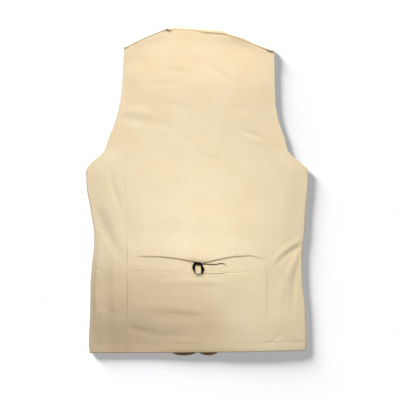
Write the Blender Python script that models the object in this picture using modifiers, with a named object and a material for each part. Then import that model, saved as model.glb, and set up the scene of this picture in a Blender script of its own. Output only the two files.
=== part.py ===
"""A linen gilet, cut like a waistcoat, laid flat with its fronts on the table and its back up.

+X is the wearer's right, +Y points to the shoulders and +Z is up. Every size below is in
millimetres. Places on the garment are measured sideways from the centre-back line and upwards
from the back hem. The finished garment is then centred on the origin, standing on z = 0.
"""

import math
from collections import namedtuple

import bmesh
import bpy
from mathutils import Matrix, Vector
from mathutils.bvhtree import BVHTree

MM = 0.001

# Cloth and layers
BACK_WALL = 1.8
FRONT_WALL = 2.0
STRAP_WALL = 1.4
LINING_WALL = 1.0
SEAM_GAP = 0.3
LAP_GAP = 0.45  # between the two fronts, where they slope over the buttons
EDGE_HEIGHT = 6.0  # the two layers together at the seams


def turned(angle, strip, strips, done):
    """How far a border of equal strips reaches out and drops after some of them."""
    angles = [angle * (k + 0.5) / (strips - 0.5) for k in range(done)]
    return strip * sum(map(math.cos, angles)), strip * sum(map(math.sin, angles))


# A side seam is a quarter turn of each layer; a shoulder or neck edge is a half turn of one layer
SIDE_TURNS = 3
SIDE_STRIP = (EDGE_HEIGHT - SEAM_GAP) / 2 / turned(math.pi / 2, 1, SIDE_TURNS, SIDE_TURNS)[1]
OVER_TURNS = 5
OVER_STRIP = EDGE_HEIGHT / turned(math.pi, 1, OVER_TURNS, OVER_TURNS)[1]
OVER_REACH = turned(math.pi, OVER_STRIP, OVER_TURNS, OVER_TURNS // 2)[0]
OVER_RETURN = -turned(math.pi, OVER_STRIP, OVER_TURNS, OVER_TURNS)[0]


def seam_strip(angle, wall):
    """The width of a side border's strips, so that its wall stays on its own side of the seam."""
    drop = turned(angle, 1, SIDE_TURNS, SIDE_TURNS)[1]
    room = (EDGE_HEIGHT - SEAM_GAP) / 2 - wall * math.cos(angle)
    return min(SIDE_STRIP, room / max(drop, 1e-6))


SHARP_ANGLE = math.radians(50)
WELD_DISTANCE = 1e-6

# Main lines
CENTRE_FRONT = 2
HALF_LAP = 20
NECK_LEFT = -61
NECK_RIGHT = 63
UNDERARM = 377
STRETCH_START = 400
FULL_HEIGHT = 632
STRAP_LINE = 195
STRAP_FOLLOW = (6, 70)  # rows run along the straps' line within 6 mm of it, and less and less up to 70
HEM_FOLLOW = 110  # the rows follow the hem's line up to here
SEAM_END = 366  # the rolled side seams open from here up to the armholes' floors
BACK_OPEN = 396
FRONT_OPEN = 390
BACK_OPEN_TURN = math.radians(68)

# Buttons down the centre front
BUTTON_COUNT = 5
BUTTON_FIRST = 75
BUTTON_PITCH = 80
BUTTON_RADIUS = 7.5
BUTTON_THICKNESS = 2.5
BUTTON_REST = 9
BUTTON_REACH = 20
BUTTON_SIDES = 20
HOLE_COUNT = 4
HOLE_RADIUS = 0.9
HOLE_OFFSET = 2
HOLE_SIDES = 6

# Buckle on the straps
BUCKLE_X = 2.7
BUCKLE_Y = 174.1
BUCKLE_HALF_WIDTH = 13.3
BUCKLE_HALF_HEIGHT = 12.6
BUCKLE_SHOULDER = 7.7
BUCKLE_EDGE = 0.45
BUCKLE_EDGE_ANGLE = math.radians(60)
WINDOW_HALF_WIDTH = 6.6
WINDOW_HALF_HEIGHT = 9.6
WINDOW_CORNER = 1.2
BUCKLE_THICKNESS = 1.8
BUCKLE_TILT = math.radians(5)
BUCKLE_LIFT = 4.25
BAR_RADIUS = 0.8
BAR_SEAT = 1  # how far each end of the bar goes into the frame
BAR_SIDES = 10

Section = namedtuple("Section", "name height left right")

# The side seams' distances from the centre-back line, from the hem up
SIDE_SECTIONS = (
    Section("hem", 0, 222, 224),
    Section("hem turn", 20, 224, 225),
    Section("low hip", 84, 222, 224),
    Section("hip", 140, 221, 218),
    Section("strap", 180, 218, 216),
    Section("waist", 238, 213, 219),
    Section("rib", 300, 221, 224),
    Section("chest", 346, 229, 229.5),
    Section("underarm", UNDERARM, 231, 231),
)

BACK_ARMHOLE = (
    Section("underarm", UNDERARM, 231, 231),
    Section("turn", 383, 228, 226),
    Section("scye floor", 396, 217, 211),
    Section("scye curve", 408, 202, 198),
    Section("scye rise", 421, 192, 188),
    Section("blade low", 446, 183, 182),
    Section("blade", 483, 169, 169),
    Section("blade high", 520, 160, 163),
    Section("cap low", 558, 155.5, 161.5),
    Section("cap", 600, 153, 161),
    Section("shoulder tip", 632, 151.5, 160),
)

FRONT_ARMHOLE = (
    Section("underarm", UNDERARM, 231, 231),
    Section("turn", 383, 220, 218),
    Section("scye floor", 396, 203, 199),
    Section("scye curve", 408, 189, 186),
    Section("scye rise", 433, 173, 171),
    Section("blade", 483, 155, 156),
    Section("cap low", 545, 144, 150),
    Section("cap", 600, 145, 151),
    Section("shoulder tip", 632, 151.5, 160),
)

Point = namedtuple("Point", "across height")

# The garment's outline at the top
TIP_LEFT = -151.5
TIP_RIGHT = 160
SHOULDER_LEFT = (Point(TIP_LEFT, 632.5), Point(-127, 645.5), Point(-95, 660), Point(NECK_LEFT, 674))
SHOULDER_RIGHT = (Point(NECK_RIGHT, 663.5), Point(92, 654.8), Point(120, 642.5), Point(TIP_RIGHT, 627.5))
NECK_OUTLINE = (
    Point(NECK_LEFT, 674), Point(-40, 675), Point(-10, 673.5), Point(25, 670.5),
    Point(48, 669.5), Point(57, 667.5), Point(NECK_RIGHT, 664),
)
NECK_SEAM = (
    Point(NECK_LEFT, 669.8), Point(-40, 670.4), Point(-10, 667.8), Point(12, 665), Point(40, 662),
    Point(NECK_RIGHT, 659.3),
)
BACK_HEM = (Point(-224, -1), Point(0, 0), Point(120, 2), Point(224, 6))
STRAP_TOP = (
    Point(-224, 196), Point(-133, 197), Point(-119, 201), Point(-88, 200), Point(-46, 195), Point(0, 187),
    Point(37, 192), Point(79, 200), Point(110, 202), Point(135, 198), Point(224, 196),
)

# Each front's hem hangs past the back hem in a shallow point beside the centre front
FrontPoint = namedtuple("FrontPoint", "across drop half_width")
FRONT_POINTS = {"left": FrontPoint(-27, 9.6, 30), "right": FrontPoint(24, 9.8, 23)}
FRONT_HEM = 3
FRONT_HEM_FADE = 60
# The fronts part below the lowest button
OPEN_HEM = {"left": -2, "right": 6}
OPEN_START = -10
OPEN_END = 62
NECK_CURVE = 0.9
LEAST_LAP = -1

Fold = namedtuple("Fold", "name x1 y1 x2 y2 x3 y3 rise above below")

# Folds that run from point 1 past point 2 to point 3; above and below are the widths of their sides
FOLDS = (
    Fold("blouse over the straps", -138, 206, 0, 181, 138, 207, 4.6, 54, 6),
    Fold("left side fold", -204, 306, -186, 262, -150, 204, 3.6, 13, 16),
    Fold("left underarm fold", -183, 366, -170, 336, -165, 292, 2.2, 9, 9),
    Fold("right waist fold", 222, 234, 190, 226, 158, 180, 4.2, 9, 13),
    Fold("right hip fold", 214, 214, 190, 178, 188, 128, 3.0, 11, 12),
    Fold("right skirt fold", 196, 186, 164, 110, 178, 26, 1.8, 10, 10),
    Fold("left blade fold", -158, 508, -124, 512, -84, 494, 2.4, 11, 10),
    Fold("left scye fold", -176, 462, -140, 466, -96, 454, 1.8, 10, 12),
    Fold("right scye fold", 88, 470, 116, 462, 146, 444, 2.2, 10, 8),
    Fold("left yoke fold", -72, 594, -40, 586, -8, 566, 1.3, 14, 14),
    Fold("right yoke fold", 10, 602, 42, 590, 76, 560, 1.3, 14, 14),
    Fold("skirt swell", -104, 92, -40, 88, 22, 84, 1.8, 22, 16),
    Fold("left skirt crease", -146, 52, -110, 44, -70, 42, 1.5, 9, 9),
    Fold("upper centre swell", -30, 500, 10, 470, 30, 420, 1.2, 30, 30),
)

FOLD_STEPS = 14
FOLD_TAPER = 0.7

Height = namedtuple("Height", "along rise")

# The back's height over the laps of the fronts and their buttons
LAP_CREST = (
    Height(0, 1.7), Height(9, 2.8), Height(34, 3.0), Height(52, 3.6), Height(64, 4.2),
    Height(250, 4.4), Height(415, 4.2), Height(470, 3.0), Height(520, 1.8), Height(600, 0.5), Height(680, 0),
)
LAP_FLAT = 26
LAP_FOOT = 120
PILLOW_RISE = 2.0
PILLOW_SIDE = 50  # the pillow is full this far from the side edges, the hem and the top
PILLOW_HEM = 40
PILLOW_TOP = 45
SCYE_SAG = 1.8
SAG_REACH = (2, 15)  # the sag ends between these distances from the armhole, and between these heights
SAG_LOW = (400, 430)
SAG_HIGH = (585, 618)
FOLD_BORDER = 22  # folds are full this far from the side edges and the top
FOLD_HEM = (-2, 16)

# The straps lie this far off the back; the left one rises over the buckle's bar, measured from the bar
STRAP_GAP = 0.55
STRAP_WAVE = (
    Height(-150, STRAP_GAP), Height(-6.2, STRAP_GAP), Height(-1.6, 5.5), Height(1.6, 5.5), Height(6.4, 2.3),
    Height(80, 2.3),
)

Strap = namedtuple("Strap", "along top bottom")
LEFT_STRAP = (
    Strap(-134, 189, 179), Strap(-131, 194, 174), Strap(-125, 197.5, 171), Strap(-110, 199, 170),
    Strap(-88, 198.5, 169.5), Strap(-61, 195.5, 168.5), Strap(-35, 191, 167), Strap(-15, 185, 165.5),
    Strap(-7, 182.5, 165.7), Strap(0, 182.4, 165.8), Strap(14, 182.5, 165.7), Strap(35, 183, 165),
    Strap(52, 183, 165.2), Strap(60, 180.5, 168), Strap(63.5, 177, 171.5),
)
RIGHT_STRAP = (
    Strap(1.4, 182, 166), Strap(16, 184.5, 165), Strap(37, 189.5, 165), Strap(58, 194.5, 166),
    Strap(79, 197.5, 167), Strap(105, 199, 168), Strap(124, 198, 169), Strap(134, 194.5, 170.5),
    Strap(140, 189, 174), Strap(142.5, 184.5, 178),
)

RIGHT_STRAP_RISE = 1.0
RIGHT_STRAP_SLOPE = (4, 8)
STRAP_ROWS = 4
STRAP_STEP = 7

BACK_ROWS = (
    0, 9, 17, 19, 21, 34, 52, 70, 88, 106, 124, 140, 155, 168, 180, 189, 195, 197.5, 202, 208, 217,
    229, 244, 261, 279, 297, 315, 333, 350, 364, UNDERARM, 386, 396, 408, 422, 440, 458, 475, 491,
    508, 530, 556, 582, 606, FULL_HEIGHT,
)
BACK_COLUMNS = {"side": 6, "blade": 6, "centre": 9}
DART_LEFT = -145.8
DART_RIGHT = 145.4
DART_LEFT_TOP = -116
DART_RIGHT_TOP = 120
DART_DEPTH = 0.9
DART_HALF_WIDTH = 2.5
DART_FADE = 300
DART_END = 358
DART_DRIFT = 640
HEM_TURN = 19
HEM_GROOVE = 0.6
HEM_GROOVE_HALF_WIDTH = 2
HEM_GROOVE_FADE = 6

FRONT_LOW_ROWS = (0, 8, 16, 28, 42)
FRONT_HIGH_ROWS = (UNDERARM, 386, 395, 404, 415, 432, 446, 460, 470, 495, 530, 565, 600, FULL_HEIGHT)
FRONT_COLUMNS = 7
LAP_SQUEEZE = 0.72
SQUEEZE_START = 404
LAP_STEPS = {"left": (56, 40, 30, 20, 10, 0), "right": (56, 42, 30, 20, 10, 0)}
BAND_COLUMNS = 14
BAND_INSET = 1.2
BAND_TAPER = 0.06
BAND_RETURN = 2.5
# The linings start this share of a step inside the fronts' edges, and reach these steps at each row
LINING_START = 0.13
LINING_SLOPE = 1.06  # a sloping wall is this much thicker when it is measured straight up
LINING_REACH = {"left": (4.87, 4.75, 4.1, 3.1), "right": (4.87, 4.87, 4.87, 4.87)}

# Colours are red, green and blue from 0 to 1
Finish = namedtuple("Finish", "name colour roughness metallic")
LINEN = Finish("linen", (0.86, 0.76, 0.56), 0.9, 0.0)
LINING_BROWN = Finish("brown lining", (0.12, 0.09, 0.06), 0.5, 0.0)
BUTTON_HORN = Finish("horn button", (0.30, 0.22, 0.15), 0.35, 0.0)
BLACK_METAL = Finish("blackened metal", (0.03, 0.03, 0.03), 0.35, 0.9)


def ramp(start, end, value):
    """0 before start, 1 past end, and a smooth rise between them."""
    t = min(max((value - start) / (end - start), 0.0), 1.0)
    return t * t * (3 - 2 * t)


def slope_at(points, k):
    """The slope at one point of a table, kept flat where the table turns."""
    if k == 0:
        return (points[1][1] - points[0][1]) / (points[1][0] - points[0][0])
    if k == len(points) - 1:
        return (points[k][1] - points[k - 1][1]) / (points[k][0] - points[k - 1][0])
    before = (points[k][1] - points[k - 1][1]) / (points[k][0] - points[k - 1][0])
    after = (points[k + 1][1] - points[k][1]) / (points[k + 1][0] - points[k][0])
    if before * after <= 0:
        return 0.0
    return 2 * before * after / (before + after)


def through(points, value):
    """A smooth curve through a table of pairs, held at its ends."""
    if value <= points[0][0]:
        return points[0][1]
    for k in range(len(points) - 1):
        (x1, y1), (x2, y2) = points[k], points[k + 1]
        if value <= x2:
            width = x2 - x1
            t = (value - x1) / width
            rise = (2 * t**3 - 3 * t**2 + 1) * y1 + (3 * t**2 - 2 * t**3) * y2
            m1 = slope_at(points, k) * width
            m2 = slope_at(points, k + 1) * width
            return rise + (t**3 - 2 * t**2 + t) * m1 + (t**3 - t**2) * m2
    return points[-1][1]


def edge_of(armhole, side, height):
    """The outline's distance from the centre-back line at a height, on the left or the right."""
    sections = SIDE_SECTIONS if height <= UNDERARM else armhole
    return through([(s.height, getattr(s, side)) for s in sections], height)


def shoulder_outline(across):
    if across < 0:
        return through(SHOULDER_LEFT, across)
    return through(SHOULDER_RIGHT, across)


def back_top(across):
    """The back's upper edge: both shoulder seams and the neck seam between them."""
    if NECK_LEFT <= across <= NECK_RIGHT:
        return through(NECK_SEAM, across)
    return shoulder_outline(across) - OVER_REACH - OVER_RETURN - SEAM_GAP


def fold_height(fold, x, y):
    """A fold's rise at a point: full in the middle of its length, with a side above and a side below."""
    nearest = None
    for k in range(FOLD_STEPS + 1):
        t = k / FOLD_STEPS
        px = (1 - t) ** 2 * fold.x1 + 2 * t * (1 - t) * fold.x2 + t * t * fold.x3
        py = (1 - t) ** 2 * fold.y1 + 2 * t * (1 - t) * fold.y2 + t * t * fold.y3
        away = math.hypot(x - px, y - py)
        if nearest is None or away < nearest[0]:
            dx = 2 * (1 - t) * (fold.x2 - fold.x1) + 2 * t * (fold.x3 - fold.x2)
            dy = 2 * (1 - t) * (fold.y2 - fold.y1) + 2 * t * (fold.y3 - fold.y2)
            length = math.hypot(dx, dy)
            normal_x, normal_y = -dy / length, dx / length
            if normal_y < 0:
                normal_x, normal_y = -normal_x, -normal_y
            across = (x - px) * normal_x + (y - py) * normal_y
            along = ((x - px) * dx + (y - py) * dy) / length
            nearest = (away, t + along / length / 2, across)
    _, t, across = nearest
    width = fold.above if across > 0 else fold.below
    if not 0 < t < 1 or abs(across) >= width:
        return 0.0
    return fold.rise * math.sin(math.pi * t) ** FOLD_TAPER * math.cos(math.pi / 2 * across / width) ** 2


def dart_groove(x, height):
    depth = DART_DEPTH * (1 - ramp(DART_FADE, DART_END, height))
    nearest = min(abs(x - DART_LEFT), abs(x - DART_RIGHT))
    return depth * max(0.0, 1 - nearest / DART_HALF_WIDTH)


def back_surface(x, y, left, right):
    """The height of the back's outer face at a place that lies between two edges."""
    inside = min(x + left, right - x)
    top_distance = back_top(x) - y
    pillow = PILLOW_RISE * ramp(0, PILLOW_SIDE, inside)
    pillow *= ramp(0, PILLOW_HEM, y) * ramp(0, PILLOW_TOP, top_distance)
    crest = through(LAP_CREST, y) * (1 - ramp(LAP_FLAT, LAP_FOOT, abs(x - CENTRE_FRONT)))
    sag = SCYE_SAG * (1 - ramp(*SAG_REACH, inside)) * ramp(*SAG_LOW, y) * (1 - ramp(*SAG_HIGH, y))
    border = ramp(0, FOLD_BORDER, inside) * ramp(*FOLD_HEM, y) * ramp(0, FOLD_BORDER, top_distance)
    folds = border * sum(fold_height(fold, x, y) for fold in FOLDS)
    from_turn = abs(y - through(BACK_HEM, x) - HEM_TURN)
    hem = HEM_GROOVE * ramp(0, HEM_GROOVE_FADE, inside) * max(0.0, 1 - from_turn / HEM_GROOVE_HALF_WIDTH)
    return EDGE_HEIGHT + max(pillow, crest) + folds - sag - hem - dart_groove(x, y)


def stretched(height, top):
    """A row's place in a column: above the armhole's floor the rows share out the way to the top edge."""
    share = max(0.0, (height - STRETCH_START) / (FULL_HEIGHT - STRETCH_START))
    return height + share * (top - FULL_HEIGHT)


def back_columns(left, right, height):
    """The distances across of one row's points between its two rolled borders."""
    drift = ramp(DART_END, DART_DRIFT, height)
    dart_left = DART_LEFT + drift * (DART_LEFT_TOP - DART_LEFT)
    dart_right = DART_RIGHT + drift * (DART_RIGHT_TOP - DART_RIGHT)
    stops = (
        (-left, BACK_COLUMNS["side"]),
        (dart_left - DART_HALF_WIDTH, 1),
        (dart_left, 1),
        (dart_left + DART_HALF_WIDTH, BACK_COLUMNS["blade"]),
        (NECK_LEFT, BACK_COLUMNS["centre"]),
        (NECK_RIGHT, BACK_COLUMNS["blade"]),
        (dart_right - DART_HALF_WIDTH, 1),
        (dart_right, 1),
        (dart_right + DART_HALF_WIDTH, BACK_COLUMNS["side"]),
        (right, 0),
    )
    columns = []
    for (start, count), (end, _) in zip(stops, stops[1:]):
        columns += [start + (end - start) * k / count for k in range(count)]
    return columns + [right]


def back_place(i, j):
    """One point of the back's outer face, by its column and row."""
    height = BACK_ROWS[j]
    angle = math.pi / 2 - BACK_OPEN_TURN * ramp(SEAM_END, BACK_OPEN, height)
    strip = seam_strip(angle, BACK_WALL)
    reach = turned(angle, strip, SIDE_TURNS, SIDE_TURNS)[0]
    left = edge_of(BACK_ARMHOLE, "left", stretched(height, back_top(TIP_LEFT))) - reach
    right = edge_of(BACK_ARMHOLE, "right", stretched(height, back_top(TIP_RIGHT))) - reach
    columns = back_columns(left, right, height)
    last = len(columns) - 1
    x = columns[min(max(i - SIDE_TURNS, 0), last)]
    y = stretched(height, back_top(x))
    y += (through(STRAP_TOP, x) - STRAP_LINE) * (1 - ramp(*STRAP_FOLLOW, abs(height - STRAP_LINE)))
    y += through(BACK_HEM, x) * (1 - ramp(0, HEM_FOLLOW, height))
    z = back_surface(x, y, left, right)
    beyond = max(SIDE_TURNS - i, i - SIDE_TURNS - last, 0)
    out, drop = turned(angle, strip, SIDE_TURNS, beyond)
    side = -1 if i < SIDE_TURNS else 1
    return x + side * out, y, z - drop


def button_rise(height):
    """How far the laps stand off the table over the buttons' thickness."""
    lift = 0.0
    for k in range(BUTTON_COUNT):
        away = abs(height - BUTTON_FIRST - k * BUTTON_PITCH)
        lift = max(lift, 1 - max(0.0, away - BUTTON_REST) / (BUTTON_REACH - BUTTON_REST))
    return lift * (BUTTON_THICKNESS + SEAM_GAP)


def front_rows():
    """The fronts' heights from hem to shoulder, with rows at the edges of each button's rise."""
    rows = list(FRONT_LOW_ROWS)
    for k in range(BUTTON_COUNT):
        centre = BUTTON_FIRST + k * BUTTON_PITCH
        rows += [centre - BUTTON_REACH, centre - BUTTON_REST, centre + BUTTON_REST, centre + BUTTON_REACH]
    below = [row for row in rows if row < UNDERARM - BUTTON_REST]
    return below + list(FRONT_HIGH_ROWS)


FRONT_ROWS = front_rows()


def front_edge(side, height):
    """Where a front ends at the centre: cut away at the hem, lapped at the buttons, then the V neck."""
    lap = HALF_LAP if side == "left" else -HALF_LAP
    open_hem = OPEN_HEM[side]
    neck = NECK_LEFT if side == "left" else NECK_RIGHT
    lapped = CENTRE_FRONT + lap
    if height < OPEN_END:
        return open_hem + (lapped - open_hem) * ramp(OPEN_START, OPEN_END, height)
    top = BUTTON_FIRST + (BUTTON_COUNT - 1) * BUTTON_PITCH + BUTTON_REACH
    if height <= top:
        return lapped
    return lapped + (neck - lapped) * ((height - top) / (FULL_HEIGHT - top)) ** NECK_CURVE


def front_hem(side, x):
    point = FRONT_POINTS[side]
    away = min(abs(x - point.across) / point.half_width, 1)
    return through(BACK_HEM, x) + FRONT_HEM - point.drop * math.cos(math.pi / 2 * away)


def front_columns(side, height, reach):
    """The distances across of one row's points, from the side seam to the centre edge."""
    tip = TIP_LEFT if side == "left" else TIP_RIGHT
    outer = edge_of(FRONT_ARMHOLE, side, stretched(height, shoulder_outline(tip))) - reach
    sign = -1 if side == "left" else 1
    edge = front_edge(side, height)
    squeeze = 1 - LAP_SQUEEZE * ramp(SQUEEZE_START, FULL_HEIGHT, height)
    inner = [edge + sign * step * squeeze for step in LAP_STEPS[side]]
    start = sign * outer
    return [start + (inner[0] - start) * k / FRONT_COLUMNS for k in range(FRONT_COLUMNS)] + inner


def front_lift(side, x, height):
    """The height of a front's outer face above the table."""
    plateau = 1 - (abs(x - CENTRE_FRONT) - HALF_LAP / 2) / (HALF_LAP / 2)
    lift = button_rise(height) * min(max(plateau, 0.0), 1.0)
    if side == "right":
        lap = front_edge("left", height) - front_edge("right", height)
        if lap > LEAST_LAP:
            foot, crest = LAP_STEPS["right"][:2]
            fall = (x - front_edge("right", height) - crest) / (foot - crest)
            lift += (FRONT_WALL + LAP_GAP) * (1 - min(max(fall, 0.0), 1.0))
    return lift


def front_place(side, i, j):
    """One point of a front's outer face: its rows end in a turn over the shoulder."""
    row = min(j, len(FRONT_ROWS) - 1)
    height = FRONT_ROWS[row]
    angle = math.pi / 2 * (1 - ramp(SEAM_END, FRONT_OPEN, height))
    strip = seam_strip(angle, FRONT_WALL)
    reach = turned(angle, strip, SIDE_TURNS, SIDE_TURNS)[0]
    columns = front_columns(side, height, reach)
    x = columns[max(i - SIDE_TURNS, 0)]
    out, drop = turned(angle, strip, SIDE_TURNS, max(SIDE_TURNS - i, 0))
    y = stretched(height, shoulder_outline(x) - OVER_REACH)
    y += front_hem(side, x) * (1 - ramp(0, FRONT_HEM_FADE, height))
    z = front_lift(side, x, height) + drop
    over, up = turned(math.pi, OVER_STRIP, OVER_TURNS, j - row)
    return x + (-out if side == "left" else out), y + over, z + up


def band_place(i, j):
    """One point of the neck band: flat from its seam, turned over the neck edge and back underneath."""
    x = NECK_LEFT + BAND_INSET + (NECK_RIGHT - NECK_LEFT - 2 * BAND_INSET) * i / BAND_COLUMNS
    if j == 0:
        return x, back_top(x) + SEAM_GAP, EDGE_HEIGHT
    bend = through(NECK_OUTLINE, x) - OVER_REACH
    over, down = turned(math.pi, OVER_STRIP, OVER_TURNS, min(j - 1, OVER_TURNS))
    if j <= OVER_TURNS + 1:
        return x, bend + over, EDGE_HEIGHT - down
    middle = (NECK_LEFT + NECK_RIGHT) / 2
    return x + (middle - x) * BAND_TAPER, bend + over - BAND_RETURN, 0.0


def make_material(finish):
    material = bpy.data.materials.new(finish.name)
    material.use_nodes = True
    shader = material.node_tree.nodes["Principled BSDF"]
    shader.inputs["Base Color"].default_value = (*finish.colour, 1)
    shader.inputs["Roughness"].default_value = finish.roughness
    shader.inputs["Metallic"].default_value = finish.metallic
    material.diffuse_color = (*finish.colour, 1)
    return material


def grid_object(name, columns, rows, place, material, face_down=False):
    """An open sheet of columns by rows cells, each point put where place says."""
    mesh = bpy.data.meshes.new(name)
    bm = bmesh.new()
    bmesh.ops.create_grid(bm, x_segments=columns, y_segments=rows, size=1)
    for vertex in bm.verts:
        i = round((vertex.co.x + 1) / 2 * columns)
        j = round((vertex.co.y + 1) / 2 * rows)
        vertex.co = Vector(place(i, j)) * MM
    if face_down:
        bmesh.ops.reverse_faces(bm, faces=bm.faces)
    bm.to_mesh(mesh)
    bm.free()
    obj = bpy.data.objects.new(name, mesh)
    obj.data.materials.append(material)
    bpy.context.scene.collection.children[COLLECTION].objects.link(obj)
    return obj


def give_wall(obj, thickness, offset=-1.0):
    """The sheet's wall, on the inner side of its outer face."""
    wall = obj.modifiers.new("Wall", "SOLIDIFY")
    wall.thickness = thickness * MM
    wall.offset = offset
    obj.data.shade_smooth()
    obj.data.set_sharp_from_angle(angle=SHARP_ANGLE)


def make_back(linen):
    hem = SIDE_SECTIONS[0]
    columns = len(back_columns(hem.left, hem.right, hem.height)) - 1 + 2 * SIDE_TURNS
    back = grid_object("back", columns, len(BACK_ROWS) - 1, back_place, linen)
    give_wall(back, BACK_WALL)
    return back


def make_front(side, linen):
    columns = SIDE_TURNS + FRONT_COLUMNS + len(LAP_STEPS[side]) - 1
    rows = len(FRONT_ROWS) - 1 + OVER_TURNS

    def place(i, j):
        return front_place(side, i if side == "left" else columns - i, j)

    front = grid_object(f"front_{side}", columns, rows, place, linen, face_down=True)
    give_wall(front, FRONT_WALL)
    return front


def make_neck_band(linen):
    band = grid_object("neck_band", BAND_COLUMNS, OVER_TURNS + 2, band_place, linen)
    give_wall(band, BACK_WALL)
    return band


def front_between(side, u, v):
    """A point of a front's outer face between its columns and rows."""
    i, j = int(u), int(v)
    low = Vector(front_place(side, i, j)).lerp(Vector(front_place(side, i + 1, j)), u - i)
    high = Vector(front_place(side, i, j + 1)).lerp(Vector(front_place(side, i + 1, j + 1)), u - i)
    return low.lerp(high, v - j)


def make_lining(side, brown):
    """The lining of a front's lower point, made from the front's own points, just inside its edges."""
    columns = len(LAP_STEPS[side]) - 1
    first = SIDE_TURNS + FRONT_COLUMNS

    def place(i, j):
        across = i if side == "left" else columns - i
        u = first + LINING_START + (LINING_REACH[side][j] - LINING_START) * across / columns
        v = j + LINING_START * (j == 0)
        point = front_between(side, u, v)
        return point.x, point.y, point.z + LINING_SLOPE * FRONT_WALL + LAP_GAP

    lining = grid_object(f"lining_{side}", columns, len(LINING_REACH[side]) - 1, place, brown)
    give_wall(lining, LINING_WALL, offset=1.0)
    return lining


def sheet_height(sheet):
    """Gives the height in millimetres of an open sheet at a place."""
    sheet.data.calc_loop_triangles()
    points = [vertex.co.copy() for vertex in sheet.data.vertices]
    tree = BVHTree.FromPolygons(points, [tuple(face.vertices) for face in sheet.data.loop_triangles])

    def height(x, y):
        hit = tree.ray_cast(Vector((x * MM, y * MM, 1)), Vector((0, 0, -1)))[0]
        return hit.z / MM

    return height


def stations(stops, longest):
    """The stops in order, with even ones between any that are further apart than the longest step."""
    stops = sorted(stops)
    places = []
    for start, end in zip(stops, stops[1:]):
        count = math.ceil((end - start) / longest)
        places += [start + (end - start) * k / count for k in range(count)]
    return places + [stops[-1]]


def make_strap(name, sections, lift, places, height, linen):
    """A strap on the back, from a table of its edges, lifted off the back by what lift gives."""
    tops = [(s.along, s.top) for s in sections]
    bottoms = [(s.along, s.bottom) for s in sections]

    def place(i, j):
        x = places[i]
        low, high = through(bottoms, x), through(tops, x)
        y = low + (high - low) * j / STRAP_ROWS
        return x, y, height(x, y) + lift(x)

    strap = grid_object(name, len(places) - 1, STRAP_ROWS, place, linen)
    give_wall(strap, STRAP_WALL, offset=1.0)
    return strap


def left_strap_lift(x):
    """Flat on the back, over the buckle's bar and then on the right strap."""
    away = x - BUCKLE_X
    for first, second in zip(STRAP_WAVE, STRAP_WAVE[1:]):
        if away <= second.along:
            t = max(0.0, (away - first.along) / (second.along - first.along))
            return first.rise + (second.rise - first.rise) * t
    return STRAP_WAVE[-1].rise


def right_strap_lift(x):
    """Flat on the back, with its end raised to the buckle's bar, which it carries."""
    return STRAP_GAP + RIGHT_STRAP_RISE * (1 - ramp(*RIGHT_STRAP_SLOPE, x))


def outline_mesh(name, loops, half_thickness):
    """A flat plate from closed outlines, the inner ones cut through."""
    curve = bpy.data.curves.new(name, "CURVE")
    curve.dimensions = "2D"
    curve.fill_mode = "BOTH"
    curve.extrude = half_thickness * MM
    for loop in loops:
        spline = curve.splines.new("POLY")
        spline.points.add(len(loop) - 1)
        for point, (x, y) in zip(spline.points, loop):
            point.co = (x * MM, y * MM, 0, 1)
        spline.use_cyclic_u = True
    guide = bpy.data.objects.new(name, curve)
    bpy.context.scene.collection.objects.link(guide)
    bpy.context.view_layer.update()
    evaluated = guide.evaluated_get(bpy.context.evaluated_depsgraph_get())
    mesh = bpy.data.meshes.new_from_object(evaluated)
    bpy.data.objects.remove(guide)
    bm = bmesh.new()
    bm.from_mesh(mesh)
    bmesh.ops.remove_doubles(bm, verts=bm.verts, dist=WELD_DISTANCE)
    bm.to_mesh(mesh)
    bm.free()
    return mesh


def rounded_rectangle(half_width, half_height, radius, turns=3):
    points = []
    for quarter in range(4):
        sx = 1 if quarter in (0, 3) else -1
        sy = 1 if quarter < 2 else -1
        for k in range(turns + 1):
            angle = math.pi / 2 * (quarter + k / turns)
            x = sx * (half_width - radius) + radius * math.cos(angle)
            y = sy * (half_height - radius) + radius * math.sin(angle)
            points.append((x, y))
    return points


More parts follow.
